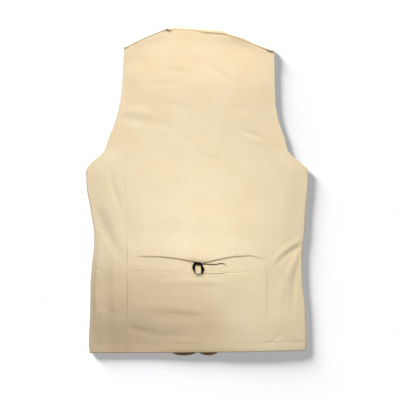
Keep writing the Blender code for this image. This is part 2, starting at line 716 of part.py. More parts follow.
def make_buckle(height, metal, cutters):
    """A six-sided frame with a window and a bar across it, under which the right strap ends."""
    outer = [
        (BUCKLE_HALF_WIDTH, 0),
        (BUCKLE_SHOULDER, BUCKLE_HALF_HEIGHT),
        (-BUCKLE_SHOULDER, BUCKLE_HALF_HEIGHT),
        (-BUCKLE_HALF_WIDTH, 0),
        (-BUCKLE_SHOULDER, -BUCKLE_HALF_HEIGHT),
        (BUCKLE_SHOULDER, -BUCKLE_HALF_HEIGHT),
    ]
    window = rounded_rectangle(WINDOW_HALF_WIDTH, WINDOW_HALF_HEIGHT, WINDOW_CORNER)
    mesh = outline_mesh("buckle", (outer, window[::-1]), BUCKLE_THICKNESS / 2)
    buckle = bpy.data.objects.new("buckle", mesh)
    buckle.data.materials.append(metal)
    bpy.context.scene.collection.children[COLLECTION].objects.link(buckle)
    edges = buckle.modifiers.new("Edges", "BEVEL")
    edges.width = BUCKLE_EDGE * MM
    edges.segments = 2
    edges.limit_method = "ANGLE"
    edges.angle_limit = BUCKLE_EDGE_ANGLE

    bar_mesh = bpy.data.meshes.new("buckle_bar")
    bm = bmesh.new()
    length = 2 * (WINDOW_HALF_HEIGHT + BAR_SEAT)
    bmesh.ops.create_cone(
        bm, cap_ends=True, segments=BAR_SIDES, radius1=BAR_RADIUS * MM, radius2=BAR_RADIUS * MM,
        depth=length * MM,
    )
    bmesh.ops.rotate(bm, verts=bm.verts, matrix=Matrix.Rotation(math.pi / 2, 3, "X"))
    bm.to_mesh(bar_mesh)
    bm.free()
    bar = bpy.data.objects.new("buckle_bar", bar_mesh)
    bar.hide_render = True
    bar.display_type = "WIRE"
    cutters.objects.link(bar)
    bar.parent = buckle
    joined = buckle.modifiers.new("Bar", "BOOLEAN")
    joined.operation = "UNION"
    joined.object = bar
    buckle.location = Vector((BUCKLE_X, BUCKLE_Y, height(BUCKLE_X, BUCKLE_Y) + BUCKLE_LIFT)) * MM
    buckle.rotation_euler = (0, -BUCKLE_TILT, 0)
    return buckle


def make_button(number, horn, cutters):
    """A four-hole button, face down."""
    mesh = bpy.data.meshes.new(f"button_{number}")
    bm = bmesh.new()
    bmesh.ops.create_cone(
        bm, cap_ends=True, segments=BUTTON_SIDES, radius1=BUTTON_RADIUS * MM, radius2=BUTTON_RADIUS * MM,
        depth=BUTTON_THICKNESS * MM,
    )
    bm.to_mesh(mesh)
    bm.free()
    button = bpy.data.objects.new(f"button_{number}", mesh)
    button.data.materials.append(horn)
    bpy.context.scene.collection.children[COLLECTION].objects.link(button)
    for hole in range(HOLE_COUNT):
        cutter_mesh = bpy.data.meshes.new(f"button_hole_{number}_{hole}")
        bm = bmesh.new()
        bmesh.ops.create_cone(
            bm, cap_ends=True, segments=HOLE_SIDES, radius1=HOLE_RADIUS * MM, radius2=HOLE_RADIUS * MM,
            depth=3 * BUTTON_THICKNESS * MM,
        )
        bm.to_mesh(cutter_mesh)
        bm.free()
        cutter = bpy.data.objects.new(f"button_hole_{number}_{hole}", cutter_mesh)
        cutter.hide_render = True
        cutter.display_type = "WIRE"
        cutter.parent = button
        angle = 2 * math.pi * (hole + 0.5) / HOLE_COUNT
        cutter.location = Vector((math.cos(angle), math.sin(angle), 0)) * HOLE_OFFSET * MM
        cutters.objects.link(cutter)
        cut = button.modifiers.new(f"Hole {hole}", "BOOLEAN")
        cut.operation = "DIFFERENCE"
        cut.object = cutter
    y = BUTTON_FIRST + (number - 1) * BUTTON_PITCH
    button.location = Vector((CENTRE_FRONT, y, BUTTON_THICKNESS / 2)) * MM
    return button


def centre_on_origin(objects, anchor):
    """Hangs every piece on one empty that puts the middle of the garment's box at x = y = 0."""
    bpy.context.view_layer.update()
    graph = bpy.context.evaluated_depsgraph_get()
    corners = []
    for obj in objects:
        evaluated = obj.evaluated_get(graph)
        corners += [evaluated.matrix_world @ vertex.co for vertex in evaluated.data.vertices]
    for obj in objects:
        obj.parent = anchor
    low_x, high_x = min(c.x for c in corners), max(c.x for c in corners)
    low_y, high_y = min(c.y for c in corners), max(c.y for c in corners)
    anchor.location = (-(low_x + high_x) / 2, -(low_y + high_y) / 2, 0)


COLLECTION = "linen_gilet"


def main():
    for obj in list(bpy.data.objects):
        bpy.data.objects.remove(obj, do_unlink=True)
    parts = bpy.data.collections.new(COLLECTION)
    cutters = bpy.data.collections.new("cutters")
    bpy.context.scene.collection.children.link(parts)
    bpy.context.scene.collection.children.link(cutters)
    linen = make_material(LINEN)
    brown = make_material(LINING_BROWN)
    horn = make_material(BUTTON_HORN)
    metal = make_material(BLACK_METAL)

    back = make_back(linen)
    height = sheet_height(back)
    pieces = [back, make_neck_band(linen)]
    for side in ("left", "right"):
        pieces += [make_front(side, linen), make_lining(side, brown)]
    over_bar = [BUCKLE_X + stop.along for stop in STRAP_WAVE[1:-1]]
    left_ends = [stop.along for stop in LEFT_STRAP[:3] + LEFT_STRAP[-3:]]
    right_ends = [stop.along for stop in RIGHT_STRAP[:1] + RIGHT_STRAP[-3:]]
    left_places = stations(over_bar + left_ends, STRAP_STEP)
    right_places = stations(right_ends + list(RIGHT_STRAP_SLOPE), STRAP_STEP)
    pieces.append(make_strap("strap_left", LEFT_STRAP, left_strap_lift, left_places, height, linen))
    pieces.append(make_strap("strap_right", RIGHT_STRAP, right_strap_lift, right_places, height, linen))
    pieces.append(make_buckle(height, metal, cutters))
    for number in range(1, BUTTON_COUNT + 1):
        pieces.append(make_button(number, horn, cutters))

    anchor = bpy.data.objects.new("gilet", None)
    parts.objects.link(anchor)
    centre_on_origin(pieces, anchor)


main()
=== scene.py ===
import math
from collections import namedtuple

import bmesh
import bpy
import numpy as np
from mathutils import Matrix, Vector, noise
from mathutils.bvhtree import BVHTree


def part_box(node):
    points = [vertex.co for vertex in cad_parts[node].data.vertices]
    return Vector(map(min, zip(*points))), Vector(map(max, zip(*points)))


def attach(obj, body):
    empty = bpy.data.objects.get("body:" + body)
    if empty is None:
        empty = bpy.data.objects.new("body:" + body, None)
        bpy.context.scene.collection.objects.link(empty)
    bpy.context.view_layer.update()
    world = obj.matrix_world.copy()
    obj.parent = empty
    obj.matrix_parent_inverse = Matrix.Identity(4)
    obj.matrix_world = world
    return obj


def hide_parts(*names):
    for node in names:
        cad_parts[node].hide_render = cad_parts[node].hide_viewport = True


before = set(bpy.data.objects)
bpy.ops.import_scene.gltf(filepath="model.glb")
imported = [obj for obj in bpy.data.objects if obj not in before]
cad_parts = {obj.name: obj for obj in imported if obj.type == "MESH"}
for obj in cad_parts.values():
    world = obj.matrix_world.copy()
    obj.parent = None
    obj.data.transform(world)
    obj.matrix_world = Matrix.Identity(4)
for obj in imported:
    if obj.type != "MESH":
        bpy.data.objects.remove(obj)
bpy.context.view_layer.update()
print("frame loaded with", len(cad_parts), "solids")

mm = 0.001
backLow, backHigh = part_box("back")
hemDip = 0.98  # the back hem's lowest corner hangs this far below its centre
place = Vector(((backLow[0] + backHigh[0]) / 2, backLow[1] + hemDip * mm, 0))


def ramp(start, end, value):
    t = np.clip((value - start) / (end - start), 0, 1)
    return t * t * (3 - 2 * t)


def curveThrough(table, at):
    # a smooth curve that never swings past its points, held at both ends
    xs, ys = np.array(table, float).T
    gaps = np.diff(xs)
    rises = np.diff(ys) / gaps
    together = rises[:-1] * rises[1:]
    total = np.where(together > 0, rises[:-1] + rises[1:], 1)
    slopes = np.concatenate(([rises[0]], np.where(together > 0, 2 * together / total, 0), [rises[-1]]))
    at = np.clip(at, xs[0], xs[-1])
    k = np.clip(np.searchsorted(xs, at) - 1, 0, len(gaps) - 1)
    t = (at - xs[k]) / gaps[k]
    level = (2 * t**3 - 3 * t**2 + 1) * ys[k] + (3 * t**2 - 2 * t**3) * ys[k + 1]
    return level + gaps[k] * ((t**3 - 2 * t**2 + t) * slopes[k] + (t**3 - t**2) * slopes[k + 1])


def spreadStops(stops):
    # each stop is a place and the longest step after it
    places = []
    for (start, step), (end, _) in zip(stops, stops[1:]):
        count = math.ceil((end - start) / step)
        places += [start + (end - start) * k / count for k in range(count)]
    return np.array(places + [stops[-1][0]])


def uneven(x, y, wavelength, height, seed):
    flat = [noise.noise(Vector((a / wavelength, b / wavelength, seed))) for a, b in zip(x.ravel(), y.ravel())]
    return height * np.array(flat).reshape(x.shape)


# The cut, read off the photograph at 2.08 mm a pixel
cut = {
    "centreFront": 2,
    "underarm": 377,
    "stretchFrom": 400,
    "fullHeight": 632,
    "neckLeft": -61,
    "neckRight": 63,
    "tipLeft": -151.5,
    "tipRight": 160,
    "seamHeight": 6.0,  # both layers together at a seam
    "layerTurn": 2.85,  # the round of one layer at a side seam
}

# height, then the edge's distance from the centre back on the left and on the right
sideSeams = (
    (0, 223.2, 225.4), (20, 224.6, 226.4), (84, 222.4, 225), (140, 221.4, 219.6), (180, 218.6, 217.8),
    (222, 214, 219), (240, 213.6, 222.2), (300, 222, 225.8), (346, 229.6, 230.4), (377, 231, 231.4),
)
backArmholes = (
    (377, 231, 231.4), (383, 228, 228.4), (396, 217, 212.4), (408, 202, 198.6), (421, 192, 188),
    (446, 183, 182), (483, 169, 169), (520, 160, 163), (558, 155.5, 161.5), (600, 153, 161),
    (632, 151.5, 160),
)
frontArmholes = (
    (377, 231, 231.4), (383, 220, 218), (396, 203, 199), (408, 189, 186), (433, 173, 171), (483, 155, 156),
    (545, 144, 150), (600, 145, 151), (632, 151.5, 160),
)

# x, height
shoulderLeft = ((-151.5, 632.5), (-127, 645.5), (-95, 660), (-61, 674))
shoulderRight = ((63, 663.5), (92, 654.8), (120, 642.5), (160, 627.5))
neckOutline = ((-61, 674), (-40, 675), (-10, 673.5), (25, 670.5), (48, 669.5), (57, 667.5), (63, 664))
neckSeam = ((-61, 670.6), (-40, 670.8), (-10, 668.4), (12, 665.4), (40, 662.6), (63, 660))
backHem = ((-224, -1), (0, 0), (120, 1.5), (224, 4.4))
strapLine = (
    (-224, 196), (-133, 197), (-119, 201), (-88, 200.5), (-46, 196.8), (-22, 193), (-8, 190), (8, 187),
    (37, 192.8), (79, 200.4), (110, 202), (135, 198), (224, 196),
)


def edgeAt(armholes, side, height):
    column = 1 if side == "left" else 2
    below, above = (curveThrough([(row[0], row[column]) for row in table], height)
                    for table in (sideSeams, armholes))
    return np.where(height <= cut["underarm"], below, above)


def shoulderOutline(x):
    return np.where(x < 0, curveThrough(shoulderLeft, x), curveThrough(shoulderRight, x))


def stretchedHeight(height, top):
    share = np.maximum(0, (height - cut["stretchFrom"]) / (cut["fullHeight"] - cut["stretchFrom"]))
    return height + share * (top - cut["fullHeight"])


# Making pieces

wellAbove = 100  # heights are looked up from here


def columnsAcross(stops):
    # each stop is a column of places and the number of steps after it
    columns = [start + (end - start) * np.arange(count) / count
               for (start, count), (end, _) in zip(stops, stops[1:])]
    return np.hstack(columns + [stops[-1][0]])


def seamRound(sheet, angle, radius, turns, sideways, up):
    # the columns of the round beside a sheet's first column, the outermost one first
    turn = angle * np.arange(turns, 0, -1) / turns
    out, rise = radius * np.sin(turn), radius * (1 - np.cos(turn))
    return sheet[:, :1] + np.stack((sideways * out, 0 * out, up * rise), axis=-1)


def gridFaces(rows, columns, flip=False):
    index = np.arange(rows * columns).reshape(rows, columns)
    corners = (index[:-1, :-1], index[:-1, 1:], index[1:, 1:], index[1:, :-1])
    return np.stack(corners[::-1] if flip else corners, axis=-1).reshape(-1, 4).tolist()


def gridMesh(name, points, shade=None, flip=False):
    rows, columns = points.shape[:2]
    mesh = bpy.data.meshes.new(name)
    placed = points.reshape(-1, 3) * mm + np.array(place)
    mesh.from_pydata(placed.tolist(), [], gridFaces(rows, columns, flip))
    # each point carries its share of painted shade, which the material mixes into the cloth's colour
    depth = mesh.attributes.new("paintedShadeAmount", "FLOAT", "POINT")
    values = np.zeros(rows * columns) if shade is None else np.clip(shade, 0, 1).ravel()
    depth.data.foreach_set("value", values.astype(np.float32))
    return mesh


def finishMesh(bm, name):
    bmesh.ops.recalc_face_normals(bm, faces=bm.faces)
    mesh = bpy.data.meshes.new(name)
    bm.to_mesh(mesh)
    bm.free()
    return mesh


def addObject(name, data):
    added = bpy.data.objects.new(name, data)
    bpy.context.scene.collection.objects.link(added)
    return added


def addPiece(name, mesh, material, nodes=()):
    piece = addObject(name, mesh)
    mesh.materials.append(material)
    mesh.shade_smooth()
    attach(piece, "root")
    if nodes:
        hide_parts(*nodes)
    return piece


def addSheet(node, points, wall, shade=None, flip=False, ahead=False, weave="cloth", slot="linen"):
    # a cloth piece in place of its solid; its wall grows behind its faces or ahead of them
    name = f"{node}_{weave}"
    material = linen if slot == "linen" else lining
    piece = addPiece(name, gridMesh(name, points, shade, flip), material, [node])
    modifier = piece.modifiers.new("Wall", "SOLIDIFY")
    modifier.thickness = wall * mm
    modifier.offset = 1.0 if ahead else -1.0
    return piece


def heightOf(points):
    # gives a sheet's height at a place
    rows, columns = points.shape[:2]
    tree = BVHTree.FromPolygons(points.reshape(-1, 3).tolist(), gridFaces(rows, columns))

    def height(x, y):
        return tree.ray_cast(Vector((x, y, wellAbove)), Vector((0, 0, -1)))[0].z

    return height


# Materials

def linear(hexColour):
    parts = [int(hexColour[k:k + 2], 16) / 255 for k in (1, 3, 5)]
    return tuple(p / 12.92 if p <= 0.04045 else ((p + 0.055) / 1.055) ** 2.4 for p in parts) + (1,)


def setInputs(node, inputs):
    # an output is linked to the input, and anything else is set on it
    for name, value in inputs.items():
        if isinstance(value, bpy.types.NodeSocket):
            node.id_data.links.new(value, node.inputs[name])
        else:
            node.inputs[name].default_value = value


def addNode(tree, kind, inputs, **settings):
    node = tree.nodes.new(kind)
    for name, value in settings.items():
        setattr(node, name, value)
    setInputs(node, inputs)
    return node


def newMaterial(name, inputs):
    material = bpy.data.materials.new(name)
    material.use_nodes = True
    shader = material.node_tree.nodes["Principled BSDF"]
    setInputs(shader, inputs)
    return material, material.node_tree, shader


def waveScale(pitch):
    return 0.314 / (pitch * mm)  # a wave texture of scale 1 repeats every 0.314 m


linenCloth = {
    "thread": "#f0dcb8",
    "slub": "#f3e2c0",
    "mottle": "#ecd6ae",
    # painted shade: the dark colour drawn into seams, darts, folds and edges where shade falls
    "seamPaintedShade": "#4a3a22",
    "threadPitch": 0.62,  # a medium linen has about 16 threads a centimetre
    "slubWidth": 2.2,  # real slubs are under a millimetre wide, drawn coarser to show
    "slubLength": 46,
    "mottleSize": 70,
    "paintedDimming": "#f8f0ec",  # painted shade: the cloth is drawn a shade pinker and darker towards the lower left of the back, where less light falls
    "paintedDimmingAt": (-0.08, -0.285, 0.01),  # in metres, as are the next two
    "paintedDimmingFull": 0.09,
    "paintedDimmingEnd": 0.19,
}


def wovenLinen():
    # flax yarn is uneven: a dry matt face, long slubs both ways and a soft mottle from washing
    material, tree, shader = newMaterial("undyed linen, plain woven and washed", {
        "Roughness": 0.92, "IOR": 1.45, "Specular IOR Level": 0.2, "Sheen Weight": 0.15,
        "Sheen Roughness": 0.5})
    where = addNode(tree, "ShaderNodeTexCoord", {}).outputs["Object"]
    wide, long = 1 / (linenCloth["slubWidth"] * mm), 1 / (linenCloth["slubLength"] * mm)
    across = addNode(tree, "ShaderNodeMapping", {"Vector": where, "Scale": (long, wide, 1)})
    along = addNode(tree, "ShaderNodeMapping", {"Vector": where, "Scale": (wide, long, 1)})
    weft = addNode(tree, "ShaderNodeTexNoise", {"Vector": across.outputs[0], "Scale": 1.0, "Detail": 4.0})
    warp = addNode(tree, "ShaderNodeTexNoise", {"Vector": along.outputs[0], "Scale": 1.0, "Detail": 4.0})
    slubs = addNode(tree, "ShaderNodeMath", {0: weft.outputs[0], 1: warp.outputs[0]}, operation="ADD")
    share = addNode(tree, "ShaderNodeMapRange", {"Value": slubs.outputs[0], "From Min": 0.7, "From Max": 1.3})
    size = 1 / (linenCloth["mottleSize"] * mm)
    clouds = addNode(tree, "ShaderNodeTexNoise", {"Vector": where, "Scale": size, "Detail": 3.0})
    patches = addNode(tree, "ShaderNodeMapRange", {
        "Value": clouds.outputs[0], "From Min": 0.35, "From Max": 0.7, "To Max": 0.6})
    yarn = addNode(tree, "ShaderNodeMix", {
        0: share.outputs[0], 6: linear(linenCloth["thread"]), 7: linear(linenCloth["slub"])},
        data_type="RGBA")
    washed = addNode(tree, "ShaderNodeMix", {
        0: patches.outputs[0], 6: yarn.outputs[2], 7: linear(linenCloth["mottle"])}, data_type="RGBA")
    # painted shade, full near the lower left of the back and gone further out
    away = addNode(tree, "ShaderNodeVectorMath", {0: where, 1: linenCloth["paintedDimmingAt"]}, operation="DISTANCE")
    low = addNode(tree, "ShaderNodeMapRange", {
        "Value": away.outputs["Value"],
        "From Min": linenCloth["paintedDimmingEnd"], "From Max": linenCloth["paintedDimmingFull"]})
    dimmed = addNode(tree, "ShaderNodeMix", {
        0: low.outputs[0], 6: washed.outputs[2], 7: linear(linenCloth["paintedDimming"])},
        data_type="RGBA", blend_type="MULTIPLY")
    # painted shade: the colour is drawn towards the dark seam colour by each point's share of it
    depth = addNode(tree, "ShaderNodeAttribute", {}, attribute_name="paintedShadeAmount")
    seamShaded = addNode(tree, "ShaderNodeMix", {
        0: depth.outputs["Fac"], 6: dimmed.outputs[2], 7: linear(linenCloth["seamPaintedShade"])}, data_type="RGBA")
    threads = [addNode(tree, "ShaderNodeTexWave", {
        "Vector": where, "Scale": waveScale(linenCloth["threadPitch"]), "Distortion": 1.5, "Detail": 2.0,
        "Detail Scale": 0.3}, bands_direction=direction) for direction in ("X", "Y")]
    weave = addNode(tree, "ShaderNodeMath", {
        0: threads[0].outputs["Fac"], 1: threads[1].outputs["Fac"]}, operation="ADD")
    relief = addNode(tree, "ShaderNodeMath", {
        0: slubs.outputs[0], 1: 3.0, 2: weave.outputs[0]}, operation="MULTIPLY_ADD")
    bump = addNode(tree, "ShaderNodeBump", {
        "Height": relief.outputs[0], "Strength": 0.35, "Distance": 0.12 * mm})
    setInputs(shader, {"Base Color": seamShaded.outputs[2], "Normal": bump.outputs[0]})
    return material


liningSatin = {"floats": "#94704e", "shade": "#ad8763", "threadPitch": 0.3, "cloudSize": 14}


def wovenLining():
    # viscose satin: long floats give a low, stretched sheen
    material, tree, shader = newMaterial("tan viscose lining, satin woven", {
        "Roughness": 0.45, "Sheen Weight": 0.1})
    where = addNode(tree, "ShaderNodeTexCoord", {}).outputs["Object"]
    size = 1 / (liningSatin["cloudSize"] * mm)
    clouds = addNode(tree, "ShaderNodeTexNoise", {"Vector": where, "Scale": size, "Detail": 3.0})
    colour = addNode(tree, "ShaderNodeMix", {
        0: clouds.outputs[0], 6: linear(liningSatin["floats"]), 7: linear(liningSatin["shade"])},
        data_type="RGBA")
    wave = addNode(tree, "ShaderNodeTexWave", {
        "Vector": where, "Scale": waveScale(liningSatin["threadPitch"]), "Distortion": 0.6},
        bands_direction="DIAGONAL")
    bump = addNode(tree, "ShaderNodeBump", {
        "Height": wave.outputs["Fac"], "Strength": 0.2, "Distance": 0.05 * mm})
    setInputs(shader, {"Base Color": colour.outputs[2], "Normal": bump.outputs[0]})
    return material


enamelCoat = {"colour": "#120800", "ripple": 2.5}


def blackEnamel():
    # stove enamel on zinc: an even black gloss with faint ripple
    material, tree, shader = newMaterial("black stove enamel on die-cast zinc", {
        "Base Color": linear(enamelCoat["colour"]), "Specular IOR Level": 0.07})
    where = addNode(tree, "ShaderNodeTexCoord", {}).outputs["Object"]
    size = 1 / (enamelCoat["ripple"] * mm)
    ripple = addNode(tree, "ShaderNodeTexNoise", {"Vector": where, "Scale": size, "Detail": 3.0})
    rough = addNode(tree, "ShaderNodeMapRange", {"Value": ripple.outputs[0], "To Min": 0.3, "To Max": 0.5})
    bump = addNode(tree, "ShaderNodeBump", {
        "Height": ripple.outputs[0], "Strength": 0.2, "Distance": 0.1 * mm})
    setInputs(shader, {"Roughness": rough.outputs[0], "Normal": bump.outputs[0]})
    return material


hornPlate = {"brown": "#3a2818", "pale": "#a98a5e", "streak": (1.6, 9, 3)}  # a streak's size each way


def polishedHorn():
    # cut and polished horn: brown with paler streaks that run one way under a soft gloss
    material, tree, shader = newMaterial("buffalo horn, cut and polished", {"Roughness": 0.28, "IOR": 1.54})
    where = addNode(tree, "ShaderNodeTexCoord", {}).outputs["Object"]
    grain = addNode(tree, "ShaderNodeMapping", {
        "Vector": where, "Scale": [1 / (size * mm) for size in hornPlate["streak"]]})
    streaks = addNode(tree, "ShaderNodeTexNoise", {
        "Vector": grain.outputs[0], "Scale": 1.0, "Detail": 5.0, "Distortion": 0.8})
    share = addNode(tree, "ShaderNodeMapRange", {
        "Value": streaks.outputs[0], "From Min": 0.35, "From Max": 0.72})
    colour = addNode(tree, "ShaderNodeMix", {
        0: share.outputs[0], 6: linear(hornPlate["brown"]), 7: linear(hornPlate["pale"])},
        data_type="RGBA")
    setInputs(shader, {"Base Color": colour.outputs[2]})
    return material


cottonThread = {"colour": "#f0ddba", "twist": 0.5}


def sewingThread():
    # three-ply cotton: a smooth twist that catches a little light, in the cloth's own colour
    material, tree, shader = newMaterial("cotton sewing thread, three-ply and mercerised", {
        "Base Color": linear(cottonThread["colour"]), "Roughness": 0.7, "Sheen Weight": 0.2})
    where = addNode(tree, "ShaderNodeTexCoord", {}).outputs["Object"]
    twist = addNode(tree, "ShaderNodeTexWave", {
        "Vector": where, "Scale": waveScale(cottonThread["twist"])}, bands_direction="DIAGONAL")
    bump = addNode(tree, "ShaderNodeBump", {
        "Height": twist.outputs["Fac"], "Strength": 0.3, "Distance": 0.05 * mm})
    setInputs(shader, {"Normal": bump.outputs[0]})
    return material


linen = wovenLinen()
lining = wovenLining()
enamel = blackEnamel()
horn = polishedHorn()
print("materials ready")


# The back

backPanel = {
    "wall": 0.9,
    # height, then the longest step up to the next
    "rows": (
        (0, 0.9), (3, 2.2), (16, 1.0), (22, 3.0), (150, 2.2), (162, 0.95), (206, 2.0), (226, 3.1),
        (622, 1.4), (629, 0.6), (632, 1),
    ),
    "side": 27,  # columns between the stops across
    "besideDart": 3,
    "dart": 4,
    "blade": 28,
    "centre": 44,
    "turns": 5,
    "opening": (366, 396),  # the round at the side seam opens over these heights
    "openBy": 40,  # degrees
    "tighterBy": 1.2,  # and its radius shrinks by this
    "strapLevel": 195,  # rows near this height follow the line of the fold
    "strapFollow": (6, 70),
    "hemFollow": 110,
    "pillow": 2.9,
    "pillowReach": 44,
    "pillowFoot": 75,
    "pillowTop": 50,
    "crestFlat": 26,
    "crestFoot": 120,
    "armholeSag": 1.0,
    "sagReach": 30,
    "sagStart": (400, 430),
    "sagEnd": (585, 618),
    "creaseFade": (9, 10, 16),  # the creases die away this close to the sides, the hem and the top
    "seamDrop": 1.4,
    "seamPaintedShade": (0.8, 2.4),  # painted shade under the top seam: dark down to the first of these depths, then fading to the second
    "hemDrop": 0.6,
    "edgeRound": 1.8,
    "shoulderInsetLeft": 0.8,
    "shoulderInsetRight": 3.5,
}
# the hem's turn-up: its height, its step down, the step's half width and the darkness of its painted shade
turnedHem = {"height": 19, "drop": 0.5, "halfWidth": 1.8, "shadeStrength": 0.28}
lapCrest = (
    (0, 1.7), (9, 2.8), (34, 3.0), (52, 3.6), (64, 4.2), (250, 4.4), (415, 4.2), (470, 3.0), (520, 1.8),
    (600, 0.5), (680, 0),
)
# the cloth hangs over the straps in a long fold, whose foot is darkened by painted shade besides its own
# shading, with more painted shade over the buckle
blouse = {
    "rise": 1.9, "above": 60, "below": 1.6, "middle": 3,
    "shadeStrength": 0.28, "shadeNearMiddle": 0.3, "shadeNearMiddleReach": 45, "lineBelow": 0.9,
    "shadeOverBuckle": 0.38, "buckleReach": 21, "buckleTop": 10,
}
blouseAlong = (
    (-138, 0), (-125, 0.15), (-115, 0.5), (-100, 0.7), (-60, 0.85), (-10, 1), (12, 1), (70, 0.85),
    (100, 0.65), (116, 0.35), (135, 0.15), (144, 0),
)
# the straps press the cloth down a little, from their lower edge up
strapBed = {
    "depth": 0.95, "left": -136, "right": 144.5, "side": 1.6, "foot": (-1.3, 0.1), "head": (-3.5, -1),
    "atRoot": 0.35, "rootReach": 26,  # shallower where the straps are sewn on
}
strapFoot = (
    (-134, 179), (-131, 174), (-125, 171), (-61, 168.5), (0, 165.6), (58, 166), (105, 168), (134, 170.5),
    (142.5, 178),
)
unevenness = ((52, 0.5, 3.1), (21, 0.16, 8.6))  # wavelength, height and seed

# where each dart lies at its foot and at the shoulder, and how clear its line is at each height, in the
# groove's depth and in the painted shade along it
darts = (
    {"foot": -145.8, "top": -116, "clear": (
        (2, 0.35), (15, 0.3), (22, 0.08), (62, 0.1), (84, 0.6), (100, 0.9), (150, 0.85), (160, 0.2),
        (178, 0.2), (188, 0.7), (214, 0.7), (226, 0.15), (300, 0.08), (358, 0))},
    {"foot": 145.4, "top": 120, "clear": (
        (2, 0.2), (15, 0.2), (22, 0.05), (84, 0.1), (100, 0.4), (150, 0.45), (172, 0.2), (240, 0.05),
        (358, 0))},
)
# the darts' groove, and the darkness of the painted shade along it
dartGroove = {
    "depth": 0.9, "halfWidth": 2.4, "border": 6, "fadeFrom": 300, "end": 358, "shoulder": 640, "least": 0.06,
    "shadeStrength": 0.26,
}

Crease = namedtuple("Crease", "x1 y1 x2 y2 x3 y3 rise above below")

# each runs from point 1 past point 2 to point 3, with the widths of its upper and lower sides;
# one with a negative rise is a trough
creases = tuple(Crease(*row) for row in (
    # broad swells
    (-150, 545, 5, 560, 170, 535, 5.4, 100, 165),
    (-260, 160, -70, 152, 150, 138, 8.6, 115, 155),
    (-270, 100, -110, 92, 60, 78, 1.8, 60, 92),
    (30, -4, 140, -2, 224, 2, 3.8, 110, 10),
    (-183, 225, -188, 110, -185, 4, -2.0, 22, 15),
    (-150, 252, 40, 262, 250, 250, 2.0, 75, 150),
    # left side
    (-196, 326, -172, 264, -142, 200, 1.8, 30, 26),
    (-206, 298, -190, 248, -158, 196, -1.3, 17, 17),
    (-181, 379, -178, 338, -158, 298, -1.3, 9, 9),
    (-158, 369, -153, 350, -151, 329, -0.54, 6, 6),
    (-222, 267, -208, 263, -196, 256, -0.98, 4, 5),
    (-226, 176, -212, 175, -202, 172, -0.82, 4, 5),
    (-216, 150, -205, 90, -214, 20, 0.76, 10, 9),
    # right side
    (156, 182, 184, 229, 250, 243, 1.6, 12, 8),
    (162, 177, 190, 216, 250, 234, -1.3, 7, 10),
    (187, 120, 186, 178, 220, 216, 1.85, 10, 13),
    (197, 66, 198, 150, 216, 200, -1.3, 9, 10),
    (179, 23, 160, 109, 193, 186, 1.09, 11, 10),
    (145, 13, 158, 27, 183, 44, -0.82, 6, 7),
    (145, 352, 150, 344, 154, 335, -0.38, 5, 5),
    (176, 362, 180, 344, 171, 331, -0.49, 6, 6),
    (164, 420, 168, 340, 163, 250, -0.43, 9, 12),
    # shoulder blades
    (-162, 500, -124, 501, -84, 492, 1.2, 20, 9),
    (-166, 488, -122, 485, -70, 470, -0.87, 9, 20),
    (-96, 482, -66, 476, -26, 452, -0.49, 10, 12),
    (86, 462, 114, 454, 141, 444, -0.82, 8, 7),
    (92, 448, 118, 440, 141, 436, 0.33, 7, 13),
    (-77, 510, -44, 523, -13, 504, -0.6, 10, 11),
    (50, 496, 81, 519, 112, 496, -0.6, 12, 12),
    (-61, 440, -36, 450, -9, 435, -0.49, 10, 10),
    (0, 404, 21, 410, 43, 400, -0.43, 8, 9),
    # yoke
    (8, 602, 37, 590, 77, 558, -0.82, 11, 13),
    (71, 542, 81, 540, 93, 538, -0.33, 5, 6),
    (-79, 579, -44, 591, -11, 579, -0.54, 10, 13),
    (-108, 554, -56, 556, -13, 568, -0.43, 9, 10),
    (-152, 594, -130, 606, -106, 612, -1.5, 20, 34),
    (-140, 616, -100, 638, -58, 648, -1.5, 24, 100),
    (4, 632, 76, 650, 156, 600, -1.5, 25, 140),
    # below the straps
    (-90, 142, -2, 153, 70, 142, 0.7, 13, 10),
    (-112, 98, -40, 94, 34, 82, 0.5, 14, 10),
    (-110, 80, -40, 80, 23, 72, -0.76, 9, 26),
    (-146, 56, -117, 40, -83, 42, -0.98, 11, 12),
    (-110, 32, -60, 40, -10, 30, -0.43, 10, 10),
))

# how clear the line of the turned-up hem is along it, in its step and in the painted shade along it
hemLineAndShade = (
    (-222, 0.1), (-200, 0.35), (-150, 0.35), (-120, 0.15), (-60, 0.15), (-42, 0.6), (0, 0.45), (14, 0.1),
    (130, 0.15), (142, 1), (160, 0.9), (170, 0.25), (186, 0.3), (194, 0.9), (216, 0.8), (224, 0.2),
)
# how deep the seam along the neck and shoulders is, and how dark its painted shade is
topSeamAndShade = (
    (-152, 1), (-120, 0.85), (-75, 0.85), (-66, 0.9), (-58, 0.7), (-50, 0.3), (-40, 0), (0, 0), (12, 0.5),
    (58, 0.55), (66, 0.6), (130, 0.6), (142, 0.8), (158, 0.8),
)
# painted shade in the corners under the seam: x, how far it reaches sideways and down, and how dark it is
topCornerShade = (
    (-60, 11, 7.5, 0.85), (-147, 7, 4.5, 0.5), (21, 11, 6, 0.3), (84, 32, 13, 0.2), (152, 12, 6, 0.9),
)
creaseSteps = 40  # places at which each crease's path is worked out


def backTop(x):
    inset = np.where(x < 0, backPanel["shoulderInsetLeft"], backPanel["shoulderInsetRight"])
    onNeck = (x >= cut["neckLeft"]) & (x <= cut["neckRight"])
    return np.where(onNeck, curveThrough(neckSeam, x), shoulderOutline(x) - inset)


def pathAt(a, b, c, t):
    # a curve from a past b to c, and its slope
    return (1 - t) ** 2 * a + 2 * t * (1 - t) * b + t * t * c, 2 * (1 - t) * (b - a) + 2 * t * (c - b)


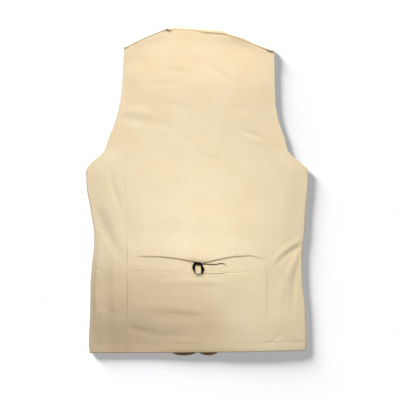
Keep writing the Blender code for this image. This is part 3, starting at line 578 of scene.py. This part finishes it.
def creaseHeight(crease, x, y):
    reach = max(crease.above, crease.below)
    xs, ys = (crease.x1, crease.x2, crease.x3), (crease.y1, crease.y2, crease.y3)
    near = (x > min(xs) - reach) & (x < max(xs) + reach) & (y > min(ys) - reach) & (y < max(ys) + reach)
    level = np.zeros_like(x)
    px, py = x[near], y[near]
    if len(px) == 0:
        return level
    t = np.linspace(0, 1, creaseSteps + 1)
    cx, dx = pathAt(*xs, t)
    cy, dy = pathAt(*ys, t)
    k = ((px[:, None] - cx) ** 2 + (py[:, None] - cy) ** 2).argmin(axis=1)
    length = np.hypot(dx, dy)[k]
    along = ((px - cx[k]) * dx[k] + (py - cy[k]) * dy[k]) / length
    across = ((py - cy[k]) * dx[k] - (px - cx[k]) * dy[k]) / length * np.where(dx[k] < 0, -1, 1)
    share = np.clip(t[k] + along / length, 0, 1)
    width = np.where(across > 0, crease.above, crease.below)
    side = np.cos(np.pi / 2 * np.clip(across / width, -1, 1)) ** 2
    level[near] = crease.rise * np.sin(np.pi * share) ** 0.7 * side
    return level


def dartX(dart, height):
    along = ramp(dartGroove["end"], dartGroove["shoulder"], height)
    return dart["foot"] + along * (dart["top"] - dart["foot"])


def backHeight(x, y, left, right):
    inside = np.minimum(x + left, right - x)
    fromTop = backTop(x) - y
    fromHem = y - curveThrough(backHem, x)
    pillow = backPanel["pillow"] * ramp(0, backPanel["pillowReach"], inside)
    pillow = pillow * ramp(0, backPanel["pillowFoot"], y)
    pillow = pillow * (0.5 + 0.5 * ramp(0, backPanel["pillowTop"], fromTop))
    fromLap = np.abs(x - cut["centreFront"])
    crest = curveThrough(lapCrest, y) * (1 - ramp(backPanel["crestFlat"], backPanel["crestFoot"], fromLap))
    form = 0.5 * np.log((np.exp(2 * pillow) + np.exp(2 * crest)) / 2)
    sag = backPanel["armholeSag"] * (1 - ramp(0, backPanel["sagReach"], inside))
    sag = sag * ramp(*backPanel["sagStart"], y) * (1 - ramp(*backPanel["sagEnd"], y))
    nearSide, nearHem, nearTop = backPanel["creaseFade"]
    border = ramp(0, nearSide, inside) * (0.8 + 0.2 * ramp(0, nearHem, y)) * ramp(0, nearTop, fromTop)
    folds = sum(creaseHeight(crease, x, y) for crease in creases) * border
    line = y - curveThrough(strapLine, x)
    side = np.where(line > 0, line / blouse["above"], -line / blouse["below"])
    drape = np.cos(np.pi / 2 * np.clip(side, 0, 1)) ** 2
    folds = folds + blouse["rise"] * curveThrough(blouseAlong, x) * drape
    turnUp = np.clip(1 - np.abs(fromHem - turnedHem["height"]) / turnedHem["halfWidth"], 0, 1)
    turnUp = turnedHem["drop"] * curveThrough(hemLineAndShade, x) * turnUp
    fromRoot = np.minimum(x - strapBed["left"], strapBed["right"] - x)
    bed = strapBed["depth"] * ramp(*strapBed["foot"], y - curveThrough(strapFoot, x))
    bed = bed * (1 - ramp(*strapBed["head"], line)) * ramp(0, strapBed["side"], fromRoot)
    bed = bed * (strapBed["atRoot"] + (1 - strapBed["atRoot"]) * ramp(0, strapBed["rootReach"], fromRoot))
    groove = 0
    for dart in darts:
        clear = dartGroove["least"] + (1 - dartGroove["least"]) * curveThrough(dart["clear"], y)
        clear = clear * (1 - ramp(dartGroove["fadeFrom"], dartGroove["end"], y))
        valley = np.clip(1 - np.abs(x - dart["foot"]) / dartGroove["halfWidth"], 0, 1)
        groove = groove + dartGroove["depth"] * clear * valley
    seam = backPanel["seamDrop"] * (0.2 + 0.8 * curveThrough(topSeamAndShade, x))
    seam = seam * (1 - ramp(0, backPanel["edgeRound"], fromTop))
    rim = backPanel["hemDrop"] * (1 - ramp(0, backPanel["edgeRound"], fromHem))
    soft = sum(uneven(x, y, *row) for row in unevenness) * border
    return cut["seamHeight"] + form + folds + soft - sag - turnUp - bed - groove - seam - rim


def fineLine(away, height=1.3, width=1.1):
    # the share of painted shade across a fine line: full on the line and gone within 2 mm of it
    return np.clip(height - np.abs(away) / width, 0, 1)


def paintedBackShade(x, y):
    # painted shade: how dark the colour is drawn at a point, for the shade in the top seam and its corners, a
    # dart, the fold over the straps, above the buckle and in the hem's turn
    fromTop = backTop(x) - y
    shade = curveThrough(topSeamAndShade, x) * (1 - ramp(*backPanel["seamPaintedShade"], fromTop))
    for middle, across, down, shadeStrength in topCornerShade:
        corner = (1 - ramp(0.2 * across, across, np.abs(x - middle))) * (1 - ramp(0.2 * down, down, fromTop))
        shade = np.maximum(shade, shadeStrength * corner)
    # painted shade along the darts
    for dart in darts:
        clear = curveThrough(dart["clear"], y) * fineLine(x - dart["foot"], 1.5, 1.3)
        shade = np.maximum(shade, dartGroove["shadeStrength"] * clear)
    # painted shade at the foot of the fold and above the buckle
    line = y - curveThrough(strapLine, x)
    shadeStrength = blouse["shadeStrength"] + blouse["shadeNearMiddle"] * np.exp(-((x - blouse["middle"]) / blouse["shadeNearMiddleReach"]) ** 2)
    shade = np.maximum(shade, shadeStrength * curveThrough(blouseAlong, x) * fineLine(line + blouse["lineBelow"]))
    shadeOverBuckle = np.exp(-((x - blouse["middle"]) / blouse["buckleReach"]) ** 2)
    shadeOverBuckle = shadeOverBuckle * ramp(-2, 0, line) * (1 - ramp(0, blouse["buckleTop"], line))
    shade = np.maximum(shade, blouse["shadeOverBuckle"] * shadeOverBuckle)
    # painted shade along the hem's turn
    turnUp = fineLine(y - curveThrough(backHem, x) - turnedHem["height"])
    return np.maximum(shade, turnedHem["shadeStrength"] * curveThrough(hemLineAndShade, x) * turnUp)


def dartStops(dart, rows, after):
    # the columns stand closer across a dart
    x, groove, border = dartX(dart, rows), dartGroove["halfWidth"], dartGroove["border"]
    beside = backPanel["besideDart"]
    return [(x - border, beside), (x - groove, backPanel["dart"]), (x + groove, beside), (x + border, after)]


def backPoints():
    rows = spreadStops(backPanel["rows"])[:, None]
    rise = ramp(*backPanel["opening"], rows)
    angle = np.radians(90 - backPanel["openBy"] * rise)
    radius = cut["layerTurn"] - backPanel["tighterBy"] * rise
    tips = backTop(np.array([cut["tipLeft"], cut["tipRight"]]))
    left = edgeAt(backArmholes, "left", stretchedHeight(rows, tips[0])) - radius * np.sin(angle)
    right = edgeAt(backArmholes, "right", stretchedHeight(rows, tips[1])) - radius * np.sin(angle)
    side, blade = backPanel["side"], backPanel["blade"]
    neck = [(cut["neckLeft"] + 0 * rows, backPanel["centre"]), (cut["neckRight"] + 0 * rows, blade)]
    stops = [(-left, side)] + dartStops(darts[0], rows, blade) + neck
    stops += dartStops(darts[1], rows, side) + [(right, 0)]
    x = columnsAcross(stops)
    y = stretchedHeight(rows, backTop(x))
    near = 1 - ramp(*backPanel["strapFollow"], np.abs(rows - backPanel["strapLevel"]))
    y = y + (curveThrough(strapLine, x) - backPanel["strapLevel"]) * near
    y = y + curveThrough(backHem, x) * (1 - ramp(0, backPanel["hemFollow"], rows))
    z = backHeight(x, y, left, right)
    sheet = np.stack((x, y, z), axis=-1)
    turns = backPanel["turns"]
    leftRound = seamRound(sheet, angle, radius, turns, -1, -1)
    rightRound = seamRound(sheet[:, ::-1], angle, radius, turns, 1, -1)[:, ::-1]
    plain = np.zeros((len(rows), turns))
    grid = np.concatenate((leftRound, sheet, rightRound), axis=1)
    return grid, np.hstack((plain, paintedBackShade(x, y), plain))


backGrid, backShadeAmounts = backPoints()
back = addSheet("back", backGrid, backPanel["wall"], backShadeAmounts)
onBack = heightOf(backGrid)
print("back shaped with", len(creases), "creases")


# The fronts, which lie under the back with their outer faces on the table

frontPanel = {
    "wall": 1.0,
    "halfLap": 20,
    "lapRise": 2.45,  # the right front over the left one
    "squeeze": 0.72,  # how far the lap's columns draw together towards the shoulder
    "overTurns": 10,
    "turnLeft": 124,  # degrees that the front turns over the shoulder to its seam
    "turnRight": 184,
    "overRadius": 3.0,
    "hemOver": 3,
    "hemFollow": 60,
    "openTop": 62,  # the two fronts part below this height
    "openLeft": -2,
    "openRight": 6,
    "lapFlat": 42,
    "lapSlope": 14,
    "plainLap": (62, 84),  # the laps and the buttons stay flat
    "foldFade": (10, 30),
    "foldTop": (590, 620),
    "opening": (366, 390),  # the round at the side seam opens flat over these heights
    "squeezeFrom": 404,
    # row heights beside those at the buttons
    "rows": (0, 8, 16, 28, 42, 377, 386, 395, 404, 415, 432, 446, 460, 470, 495, 530, 565, 600, 632),
    "rowStep": 4,
    "columns": 44,
    "lapColumns": 4,
    "turns": 5,
}
# columns near the lap, by their distance from its edge
lapSteps = {"left": (56, 40, 30, 20, 10, 0), "right": (56, 42, 30, 20, 10, 0)}
frontCreases = tuple(Crease(*row) for row in (
    (-198, 306, -160, 276, -92, 262, 1.4, 15, 12),
    (-192, 178, -148, 202, -84, 190, 1.2, 12, 15),
    (-166, 478, -130, 458, -92, 464, 1.1, 12, 13),
    (-200, 96, -158, 78, -104, 90, 1.2, 13, 11),
    (-140, 590, -112, 568, -88, 574, 0.9, 11, 12),
    (200, 252, 152, 272, 88, 256, 1.4, 14, 12),
    (196, 152, 150, 128, 94, 142, 1.1, 12, 13),
    (166, 492, 132, 510, 96, 500, 1.0, 11, 12),
    (190, 58, 150, 78, 104, 66, 1.1, 12, 11),
    (176, 404, 140, 392, 98, 402, 1.2, 13, 12),
))
frontPoint = {"left": (-27, 9.6, 30), "right": (24, 9.8, 23)}  # x, drop and half width of the lower point
# the cloth over each button is flat as far as "rest" and down again at "reach"
button = {
    "count": 5, "first": 75, "pitch": 80, "thickness": 2.5, "space": 0.3, "flat": 10, "rest": 9, "reach": 20,
}
buttonHeights = [button["first"] + k * button["pitch"] for k in range(button["count"])]


def buttonRise(height):
    away = np.min([np.abs(height - centre) for centre in buttonHeights], axis=0)
    slope = np.clip((away - button["rest"]) / (button["reach"] - button["rest"]), 0, 1)
    return (1 - slope) * (button["thickness"] + button["space"])


def frontEdge(side, height):
    sign = 1 if side == "left" else -1
    lapped = cut["centreFront"] + sign * frontPanel["halfLap"]
    openHem = frontPanel["openLeft" if side == "left" else "openRight"]
    neck = cut["neckLeft" if side == "left" else "neckRight"]
    top = buttonHeights[-1] + button["reach"]
    rise = np.clip((height - top) / (cut["fullHeight"] - top), 0, 1)
    low = openHem + (lapped - openHem) * ramp(-10, frontPanel["openTop"], height)
    return np.where(height < frontPanel["openTop"], low, lapped + (neck - lapped) * rise ** 0.9)


def frontHem(side, x):
    middle, drop, halfWidth = frontPoint[side]
    away = np.minimum(np.abs(x - middle) / halfWidth, 1)
    return curveThrough(backHem, x) + frontPanel["hemOver"] - drop * np.cos(np.pi / 2 * away) ** 0.6


def frontLift(side, x, height):
    plateau = 1 - (np.abs(x - cut["centreFront"]) - button["flat"]) / button["flat"]
    lift = buttonRise(height) * np.clip(plateau, 0, 1)
    if side == "right":
        inner = frontEdge("right", height)
        lapped = frontEdge("left", height) - inner > -1
        fall = np.clip((x - inner - frontPanel["lapFlat"]) / frontPanel["lapSlope"], 0, 1)
        lift = lift + np.where(lapped, frontPanel["lapRise"] * (1 - fall), 0)
    return lift


def frontFolds(x, y):
    away = ramp(*frontPanel["plainLap"], np.abs(x - cut["centreFront"]))
    return away * sum(creaseHeight(crease, x, y) for crease in frontCreases)


def frontPoints(side):
    sign = -1 if side == "left" else 1
    tip = cut["tipLeft" if side == "left" else "tipRight"]
    stops = set(frontPanel["rows"])
    for centre in buttonHeights:
        stops |= {centre + way * away for way in (-1, 1) for away in (0, button["rest"], button["reach"])}
    rows = spreadStops([(stop, frontPanel["rowStep"]) for stop in sorted(stops)])[:, None]
    angle = np.radians(np.maximum(90 * (1 - ramp(*frontPanel["opening"], rows)), 1))
    radius = cut["layerTurn"] * np.pi / 2 / angle  # the border keeps its width as it opens flat
    shoulder = shoulderOutline(np.array([tip]))[0]
    outer = sign * (edgeAt(frontArmholes, side, stretchedHeight(rows, shoulder)) - radius * np.sin(angle))
    squeeze = 1 - frontPanel["squeeze"] * ramp(frontPanel["squeezeFrom"], cut["fullHeight"], rows)
    inner = [frontEdge(side, rows) + sign * step * squeeze for step in lapSteps[side]]
    lap = [(column, frontPanel["lapColumns"]) for column in inner]
    x = columnsAcross([(outer, frontPanel["columns"])] + lap)
    over = frontPanel["overRadius"]
    y = stretchedHeight(rows, shoulderOutline(x) - over)
    y = y + frontHem(side, x) * (1 - ramp(0, frontPanel["hemFollow"], rows))
    inward = ramp(*frontPanel["foldFade"], np.abs(x - outer)) * (1 - ramp(*frontPanel["foldTop"], rows))
    z = frontLift(side, x, rows) + frontFolds(x, y) * inward
    sheet = np.stack((x, y, z), axis=-1)
    grid = np.concatenate((seamRound(sheet, angle, radius, frontPanel["turns"], sign, 1), sheet), axis=1)
    turn = np.radians(frontPanel["turnLeft" if side == "left" else "turnRight"])
    steps = np.linspace(0, turn, frontPanel["overTurns"] + 1)[1:, None]
    last = grid[-1]
    level = last[:, 2] + over * (1 - np.cos(steps))
    curl = np.stack((last[:, 0] + 0 * steps, last[:, 1] + over * np.sin(steps), level), axis=-1)
    return np.concatenate((grid, curl), axis=0)


frontGrids = {}
for side in ("left", "right"):
    frontGrids[side] = frontPoints(side)
    addSheet(f"front_{side}", frontGrids[side], frontPanel["wall"], flip=side == "left")
print("fronts shaped")


# The neck band, turned over the neck edge

neckBand = {
    "wall": 1.2, "columns": 44, "turns": 10, "radius": 3.0, "return": 2.5, "seamGap": 0.15, "endGap": 0.8,
    "seamDrop": 0.35, "crownAt": 0.45, "crownDrop": 0.05, "leastWidth": 0.4,
}


def bandPoints():
    start, end = cut["neckLeft"] + neckBand["endGap"], cut["neckRight"] - neckBand["endGap"]
    x = np.linspace(start, end, neckBand["columns"] + 1)
    bend = curveThrough(neckOutline, x) - neckBand["radius"]
    seam = np.minimum(curveThrough(neckSeam, x) + neckBand["seamGap"], bend - neckBand["leastWidth"])
    crown = seam + (bend - seam) * neckBand["crownAt"]
    top, radius = cut["seamHeight"], neckBand["radius"]
    rows = [(seam, top - neckBand["seamDrop"]), (crown, top - neckBand["crownDrop"])]
    for turn in np.linspace(0, math.pi, neckBand["turns"] + 1):
        rows.append((bend + radius * math.sin(turn), top - radius * (1 - math.cos(turn))))
    rows.append((bend - neckBand["return"], 0))
    return np.stack([np.stack((x, y, 0 * x + z), axis=-1) for y, z in rows])


band = addSheet("neck_band", bandPoints(), neckBand["wall"])
print("neck band shaped")


# The linings of the two lower points

liningPanel = {"wall": 0.5, "inset": 1.3, "lift": 0.3, "columns": 28, "rows": 16, "across": 52, "top": 62}


def liningPoints(side):
    share = np.linspace(0, 1, liningPanel["rows"] + 1)[:, None]
    height = liningPanel["top"] * share
    sign = -1 if side == "left" else 1
    near = frontEdge(side, height) + sign * liningPanel["inset"]
    x = near + sign * liningPanel["across"] * np.linspace(0, 1, liningPanel["columns"] + 1)
    y = height + frontHem(side, x) * (1 - ramp(0, frontPanel["hemFollow"], height))
    y = y + liningPanel["inset"] * (1 - share)
    z = frontLift(side, x, height) + frontPanel["wall"] + liningPanel["lift"]
    return np.stack((x, y, z), axis=-1)


for side in ("left", "right"):
    addSheet(f"lining_{side}", liningPoints(side), liningPanel["wall"], flip=side == "left",
                             ahead=True, weave="satin", slot="lining")
print("linings laid in")


# The straps

strap = {
    "wall": 0.6, "rows": 16, "step": 2.2, "rim": 0.08, "rimWidth": 2, "endRim": 0.5, "gap": 0.2,
    "crispAbove": 50,  # degrees
    "gathers": 3,  # small ones, beside the buckle
    "gather": 0.15,
    "gatherReach": 30,
    "shade": (2.0, 3.4),  # the painted shade along the upper edge fades out between these depths
    "barRise": 1.0,  # the right strap's rise to the buckle's bar, and where it starts and ends
    "barRiseAt": (4, 8),
}
buckleAt = (2.7, 174.1)

# x, upper edge, lower edge
leftStrap = (
    (-134, 189, 179), (-131, 194, 174), (-125, 197.5, 171), (-110, 199, 170), (-88, 198.5, 169.5),
    (-61, 196.3, 168.5), (-35, 192.8, 167), (-22, 189.6, 166), (-15, 187, 165.5), (-8, 183, 165.7),
    (-3, 181.2, 165.6), (2, 181.1, 164.6), (6, 181.3, 164.7), (9, 183.4, 165.5), (13, 185.1, 165.7),
    (23, 184.4, 165.3), (32, 184.1, 165), (41, 184.5, 165), (49, 186.3, 165.1), (54, 185.9, 165.6),
    (59, 183.8, 167.2), (63, 178.8, 171.5),
)
rightStrap = (
    (1.4, 182, 166), (16, 184.5, 165), (37, 189.5, 165), (58, 194.5, 166), (79, 197.5, 167), (105, 199, 168),
    (124, 198, 169), (134, 194.5, 170.5), (140, 189, 174), (142.5, 184.5, 178),
)
# how far the left strap lies off the back, by the distance from the buckle's bar: flat, over the bar,
# then on the right strap
leftLift = ((-150, 0.35), (-9, 0.35), (-2.2, 4.8), (2.2, 4.8), (8, 1.7), (20, 1.1), (80, 1.05))


def strapPoints(table, lift, upperEdgeShade):
    stops = np.array(table, float)
    xs = spreadStops([(x, strap["step"]) for x in stops[:, 0]])
    top, bottom = curveThrough(stops[:, (0, 1)], xs), curveThrough(stops[:, (0, 2)], xs)
    share = np.linspace(0, 1, strap["rows"] + 1)[:, None]
    x = xs + 0 * share
    y = bottom + (top - bottom) * share
    ground = np.array([onBack(a, b) for a, b in zip(x.ravel(), y.ravel())]).reshape(x.shape)
    fromEnd = np.minimum(x - xs[0], xs[-1] - x) + strap["endRim"]
    rim = np.minimum(np.minimum(y - bottom, top - y), fromEnd)
    gather = strap["gather"] * np.cos(2 * strap["gathers"] * np.pi * share)
    gather = gather * np.exp(-((x - buckleAt[0]) / strap["gatherReach"]) ** 2)
    z = ground + lift(x) - strap["rim"] * (1 - ramp(0, strap["rimWidth"], rim)) + gather
    # painted shade along the upper edge, where the fold above or the tongue's edge shades it
    shadeStrength = curveThrough(upperEdgeShade, x) * (1 - ramp(*strap["shade"], top - y))
    return np.stack((x, y, z), axis=-1), shadeStrength


# how dark the painted shade along the upper edge of each strap is, along it
leftUpperShade = ((-134, 0), (-60, 0.05), (-20, 0.2), (4, 0.6), (9, 1), (50, 1), (56, 0.7), (60, 0.35), (64, 0.2))
rightUpperShade = ((0, 0.5), (30, 0.1), (110, 0), (142, 0))


def leftAbove(x):
    return curveThrough(leftLift, x - buckleAt[0])


def rightAbove(x):
    return strap["gap"] + strap["barRise"] * (1 - ramp(*strap["barRiseAt"], x))


leftGrid, leftStrapShade = strapPoints(leftStrap, leftAbove, leftUpperShade)
rightGrid, rightStrapShade = strapPoints(rightStrap, rightAbove, rightUpperShade)
strapLeft = addSheet("strap_left", leftGrid, strap["wall"], leftStrapShade, ahead=True)
strapRight = addSheet("strap_right", rightGrid, strap["wall"], rightStrapShade, ahead=True)
for piece in (strapLeft, strapRight):
    edges = piece.modifiers.new("Crisp edges", "EDGE_SPLIT")
    edges.split_angle = math.radians(strap["crispAbove"])
print("straps laid on")


# The buckle: a six-sided frame, skewed as it lies

buckleFrame = {
    "outer": (
        (-10.5, 177.6), (-5.6, 188.8), (6.8, 188.0), (9.6, 184.6), (15.8, 173.4), (12.2, 164.6), (8.2, 163.8),
        (4.0, 163.0), (-1.6, 164.8), (-6.3, 167.8),
    ),
    "window": (
        (-3.9, 181.5), (7.6, 181.7), (8.9, 168.4), (7.4, 164.3), (4.0, 163.4), (-1.6, 165.2), (-3.9, 168.0),
    ),
    "thickness": 1.8,
    "lift": 3.6,
    "tilt": 5,
    "bevel": 0.3,
    "bevelAbove": 40,  # degrees
    "barRadius": 0.5,
    "barSides": 16,
    "barEnds": (164.0, 184.0),
}


def buckleMesh():
    bm = bmesh.new()
    half = buckleFrame["thickness"] / 2
    edges = []
    for outline in (buckleFrame["outer"], buckleFrame["window"]):
        verts = [bm.verts.new(((x - buckleAt[0]) * mm, (y - buckleAt[1]) * mm, -half * mm))
                 for x, y in outline]
        edges += [bm.edges.new((a, b)) for a, b in zip(verts, verts[1:] + verts[:1])]
    filled = bmesh.ops.triangle_fill(bm, use_beauty=True, use_dissolve=False, edges=edges)["geom"]
    flat = [face for face in filled if isinstance(face, bmesh.types.BMFace)]
    raised = bmesh.ops.extrude_face_region(bm, geom=flat)["geom"]
    for vert in [v for v in raised if isinstance(v, bmesh.types.BMVert)]:
        vert.co.z += 2 * half * mm
    low, high = ((y - buckleAt[1]) * mm for y in buckleFrame["barEnds"])
    turn = Matrix.Translation((0, (low + high) / 2, 0)) @ Matrix.Rotation(math.pi / 2, 4, "X")
    radius = buckleFrame["barRadius"] * mm
    bmesh.ops.create_cone(bm, cap_ends=True, segments=buckleFrame["barSides"], radius1=radius, radius2=radius,
                          depth=high - low, matrix=turn)
    return finishMesh(bm, "buckle_frame")


buckle = addPiece("buckle_frame", buckleMesh(), enamel, ["buckle"])
rounded = buckle.modifiers.new("Rounded", "BEVEL")
rounded.width = buckleFrame["bevel"] * mm
rounded.segments = 3
rounded.angle_limit = math.radians(buckleFrame["bevelAbove"])
buckleHeight = onBack(*buckleAt) + buckleFrame["lift"]
buckle.location = place + Vector((*buckleAt, buckleHeight)) * mm
buckle.rotation_euler = (0, math.radians(-buckleFrame["tilt"]), 0)
print("buckle set")


# The buttons, face down under the laps

# radius and height of the turned form
buttonProfile = (
    (3.6, 0.4), (4.6, 0.1), (5.2, 0), (6.7, 0.02), (7.3, 0.35), (7.5, 0.9), (7.4, 1.6), (6.6, 2.3),
    (5.0, 2.5),
)
buttonSides = 40
buttonHoles = {"spread": 1.5, "radius": 0.75, "depth": 1.3, "sides": 12}
holeSpots = [(a * buttonHoles["spread"], b * buttonHoles["spread"]) for a in (-1, 1) for b in (-1, 1)]


def ringOf(bm, radius, height, sides, middle=(0, 0)):
    turns = [2 * math.pi * k / sides for k in range(sides)]
    spots = [(middle[0] + radius * math.cos(a), middle[1] + radius * math.sin(a), height) for a in turns]
    return [bm.verts.new(Vector(spot) * mm) for spot in spots]


def joinRings(bm, low, high):
    for k in range(len(low)):
        bm.faces.new((low[k - 1], high[k - 1], high[k], low[k]))


def buttonMesh(name):
    bm = bmesh.new()
    rings = [ringOf(bm, radius, height, buttonSides) for radius, height in buttonProfile]
    for low, high in zip(rings, rings[1:]):
        joinRings(bm, low, high)
    bm.faces.new(rings[-1])
    level, bottom = buttonProfile[0][1], buttonProfile[0][1] + buttonHoles["depth"]
    radius, sides = buttonHoles["radius"], buttonHoles["sides"]
    mouths = [ringOf(bm, radius, level, sides, spot) for spot in holeSpots]
    edges = [bm.edges.get((rings[0][k - 1], rings[0][k])) for k in range(len(rings[0]))]
    for mouth in mouths:
        edges += [bm.edges.new((mouth[k - 1], mouth[k])) for k in range(len(mouth))]
    bmesh.ops.triangle_fill(bm, use_beauty=True, use_dissolve=False, edges=edges)
    for mouth, spot in zip(mouths, holeSpots):
        end = ringOf(bm, radius, bottom, sides, spot)
        joinRings(bm, mouth, end)
        bm.faces.new(end)
    return finishMesh(bm, name)


for number, height in enumerate(buttonHeights, 1):
    name = f"button_{number}_horn"
    piece = addPiece(name, buttonMesh(name), horn, [f"button_{number}"])
    piece.location = place + Vector((cut["centreFront"], height, 0)) * mm
print("buttons set")


# Sewing, in thread of the cloth's own colour: strap edges, hem, buttonholes and buttons

stitch = {
    "pitch": 3.2, "length": 2.4, "radius": 0.2, "sides": 6, "above": 0.05, "sink": 0.3,
    "full": (0.15, 0.85),  # it is full between these shares of its length and comes to a point at each end
}
topstitch = {
    "first": 0.5, "strapInset": 2.2, "clearOfBuckle": 14, "strapSamples": 160, "hemReach": 219,
    "hemSamples": 200,
}
buttonhole = {"near": 4, "far": -13, "pitch": 1.1, "inner": 0.3, "outer": 1.7}


def stitchRow(xs, ys, height):
    # places for the stitches along a path, each with its two ends
    along = np.concatenate(([0], np.cumsum(np.hypot(np.diff(xs), np.diff(ys)))))
    spans = []
    for start in np.arange(topstitch["first"], along[-1] - stitch["length"], stitch["pitch"]):
        reach = (start, start + stitch["length"])
        ends = [(np.interp(at, along, xs), np.interp(at, along, ys)) for at in reach]
        spans.append([Vector((x, y, height(x, y) + stitch["above"])) for x, y in ends])
    return spans


def addStitches(name, spans, down=-1):
    # each stitch is a short thread that dips into the cloth at both ends
    bm = bmesh.new()
    for start, end in spans:
        side = (end - start).cross(Vector((0, 0, 1))).normalized()
        over = side.cross(end - start).normalized()
        rings = []
        for share in stitch["full"]:
            middle = start.lerp(end, share)
            turns = [2 * math.pi * k / stitch["sides"] for k in range(stitch["sides"])]
            around = [middle + stitch["radius"] * (side * math.cos(a) + over * math.sin(a)) for a in turns]
            rings.append([bm.verts.new(place + spot * mm) for spot in around])
        joinRings(bm, *rings)
        for ring, tip in zip(rings, (start, end)):
            point = bm.verts.new(place + (tip + Vector((0, 0, down * stitch["sink"]))) * mm)
            for k in range(stitch["sides"]):
                bm.faces.new((ring[k - 1], ring[k], point))
    addPiece(name, finishMesh(bm, name), thread)


def strapStitches(table, grid):
    stops = np.array(table, float)
    inset = topstitch["strapInset"]
    onStrap = heightOf(grid)
    xs = np.linspace(stops[0, 0] + inset, stops[-1, 0] - inset, topstitch["strapSamples"])
    spans = []
    for column, sign in ((1, -1), (2, 1)):
        ys = curveThrough(stops[:, (0, column)], xs) + sign * inset
        spans += stitchRow(xs, ys, lambda x, y: onStrap(x, y) + strap["wall"])
    return [span for span in spans if abs(span[0].x - buckleAt[0]) > topstitch["clearOfBuckle"]]


def buttonholeStitches(height):
    onFront = heightOf(frontGrids["left"])
    spans = []
    for away in np.arange(buttonhole["far"], buttonhole["near"], buttonhole["pitch"]):
        x = cut["centreFront"] + away
        for sign in (-1, 1):
            ys = [height + sign * buttonhole[end] for end in ("inner", "outer")]
            spans.append([Vector((x, y, onFront(x, y) - stitch["above"])) for y in ys])
    return spans


def buttonStitches(height):
    # the thread crosses the face between the pairs of holes
    spread, level = buttonHoles["spread"], buttonProfile[0][1] - stitch["radius"]
    return [[Vector((cut["centreFront"] + x, height + a * spread, level)) for x in (-spread, spread)]
            for a in (-1, 1)]


thread = sewingThread()
hemX = np.linspace(-topstitch["hemReach"], topstitch["hemReach"], topstitch["hemSamples"])
hemSpans = stitchRow(hemX, curveThrough(backHem, hemX) + turnedHem["height"], onBack)
addStitches("hem_stitches", hemSpans)
addStitches("strap_left_stitches", strapStitches(leftStrap, leftGrid))
addStitches("strap_right_stitches", strapStitches(rightStrap, rightGrid))
holeSpans = [span for height in buttonHeights for span in buttonholeStitches(height)]
addStitches("buttonhole_stitches", holeSpans, down=1)
buttonSpans = [span for height in buttonHeights for span in buttonStitches(height)]
addStitches("button_threads", buttonSpans, down=1)
print("sewing done with", len(hemSpans + holeSpans + buttonSpans), "stitches beside the straps' own")
# Floor, lights and camera, in metres

studio = {
    "floor": "#929293",
    "floorReach": 6.0,
    "floorGap": 0.0002,  # below the garment
    "world": "#fffaf3",
    "worldStrength": 0.13,
}
# the floor's own lights: name, elevation, azimuth, softness, strength
floorSuns = (("shadow_light", 10, 135, 14, 37.4), ("floor_light", 90, 0, 20, 4.0))
# name, where it stands, where it points, width, watts, colour
lamps = (
    ("key", (0.85, 1.45, 1.0), (0.0, 0.05, 0.0), 0.7, 9.7, "#fffaf5"),
    ("key_left", (-0.7, 1.5, 1.1), (0.0, 0.05, 0.0), 0.7, 14.4, "#fffaf5"),
    ("key_top", (0.1, 1.2, 0.7), (0.0, 0.1, 0.0), 0.5, 7.7, "#fffaf5"),
    ("pool_centre", (0.02, -0.08, 0.4), (0.02, -0.08, 0.0), 0.3, 0.6, "#eaf5ff"),
    ("pool_heart", (0.03, -0.052, 0.12), (0.03, -0.052, 0.0), 0.12, 0.009, "#eaf5ff"),
    ("pool_left", (-0.14, 0.05, 0.3), (-0.14, 0.05, 0.0), 0.25, 0.14, "#eaf5ff"),
    ("pool_low", (0.16, -0.3, 0.3), (0.16, -0.3, 0.0), 0.2, 0.16, "#f9fff8"),
)


def aimed(name, data, location, target):
    lamp = addObject(name, data)
    lamp.location = location
    lamp.rotation_euler = (Vector(target) - Vector(location)).to_track_quat("-Z", "Y").to_euler()
    return lamp


def makeFloor():
    mesh = bpy.data.meshes.new("floor")
    reach = studio["floorReach"]
    corners = [(-reach, -reach, 0), (reach, -reach, 0), (reach, reach, 0), (-reach, reach, 0)]
    mesh.from_pydata(corners, [], [(0, 1, 2, 3)])
    floor = addObject("floor", mesh)
    floor.location.z = -studio["floorGap"]
    board = newMaterial("matt painted board", {
        "Base Color": linear(studio["floor"]), "Roughness": 0.9, "Specular IOR Level": 0.0})[0]
    mesh.materials.append(board)
    return floor


def lightOnly(lamp, receivers):
    group = bpy.data.collections.new(f"{lamp.name}_receivers")
    for receiver in receivers:
        group.objects.link(receiver)
    lamp.light_linking.receiver_collection = group


garment = [piece for piece in bpy.context.scene.objects if piece.type == "MESH"]
floor = makeFloor()
for name, location, target, width, watts, colour in lamps:
    data = bpy.data.lights.new(name, "AREA")
    data.shape = "DISK"
    data.size = width
    data.energy = watts
    data.color = linear(colour)[:3]
    lamp = aimed(name, data, location, target)
    lamp.visible_camera = False
    lightOnly(lamp, garment)
for name, elevation, azimuth, softness, strength in floorSuns:
    data = bpy.data.lights.new(name, "SUN")
    data.energy = strength
    data.angle = math.radians(softness)
    up, around = math.radians(elevation), math.radians(azimuth)
    sunPlace = (math.cos(up) * math.cos(around), math.cos(up) * math.sin(around), math.sin(up))
    lightOnly(aimed(name, data, sunPlace, (0, 0, 0)), [floor])

world = bpy.data.worlds.new("studio")
bpy.context.scene.world = world
world.use_nodes = True
sky = world.node_tree.nodes["Background"]
sky.inputs["Color"].default_value = linear(studio["world"])
sky.inputs["Strength"].default_value = studio["worldStrength"]

# where the camera stands, and how wide a view it takes in
view = {"height": 6.0, "across": 0.832, "sensor": 36, "x": 0.006, "y": -0.0171}
cameraData = bpy.data.cameras.new("camera")
cameraData.sensor_width = view["sensor"]
cameraData.lens = view["sensor"] * view["height"] / view["across"]
camera = addObject("camera", cameraData)
camera.location = (view["x"], view["y"], view["height"])
bpy.context.scene.camera = camera
bpy.context.scene.view_settings.view_transform = "Standard"
print("studio ready")
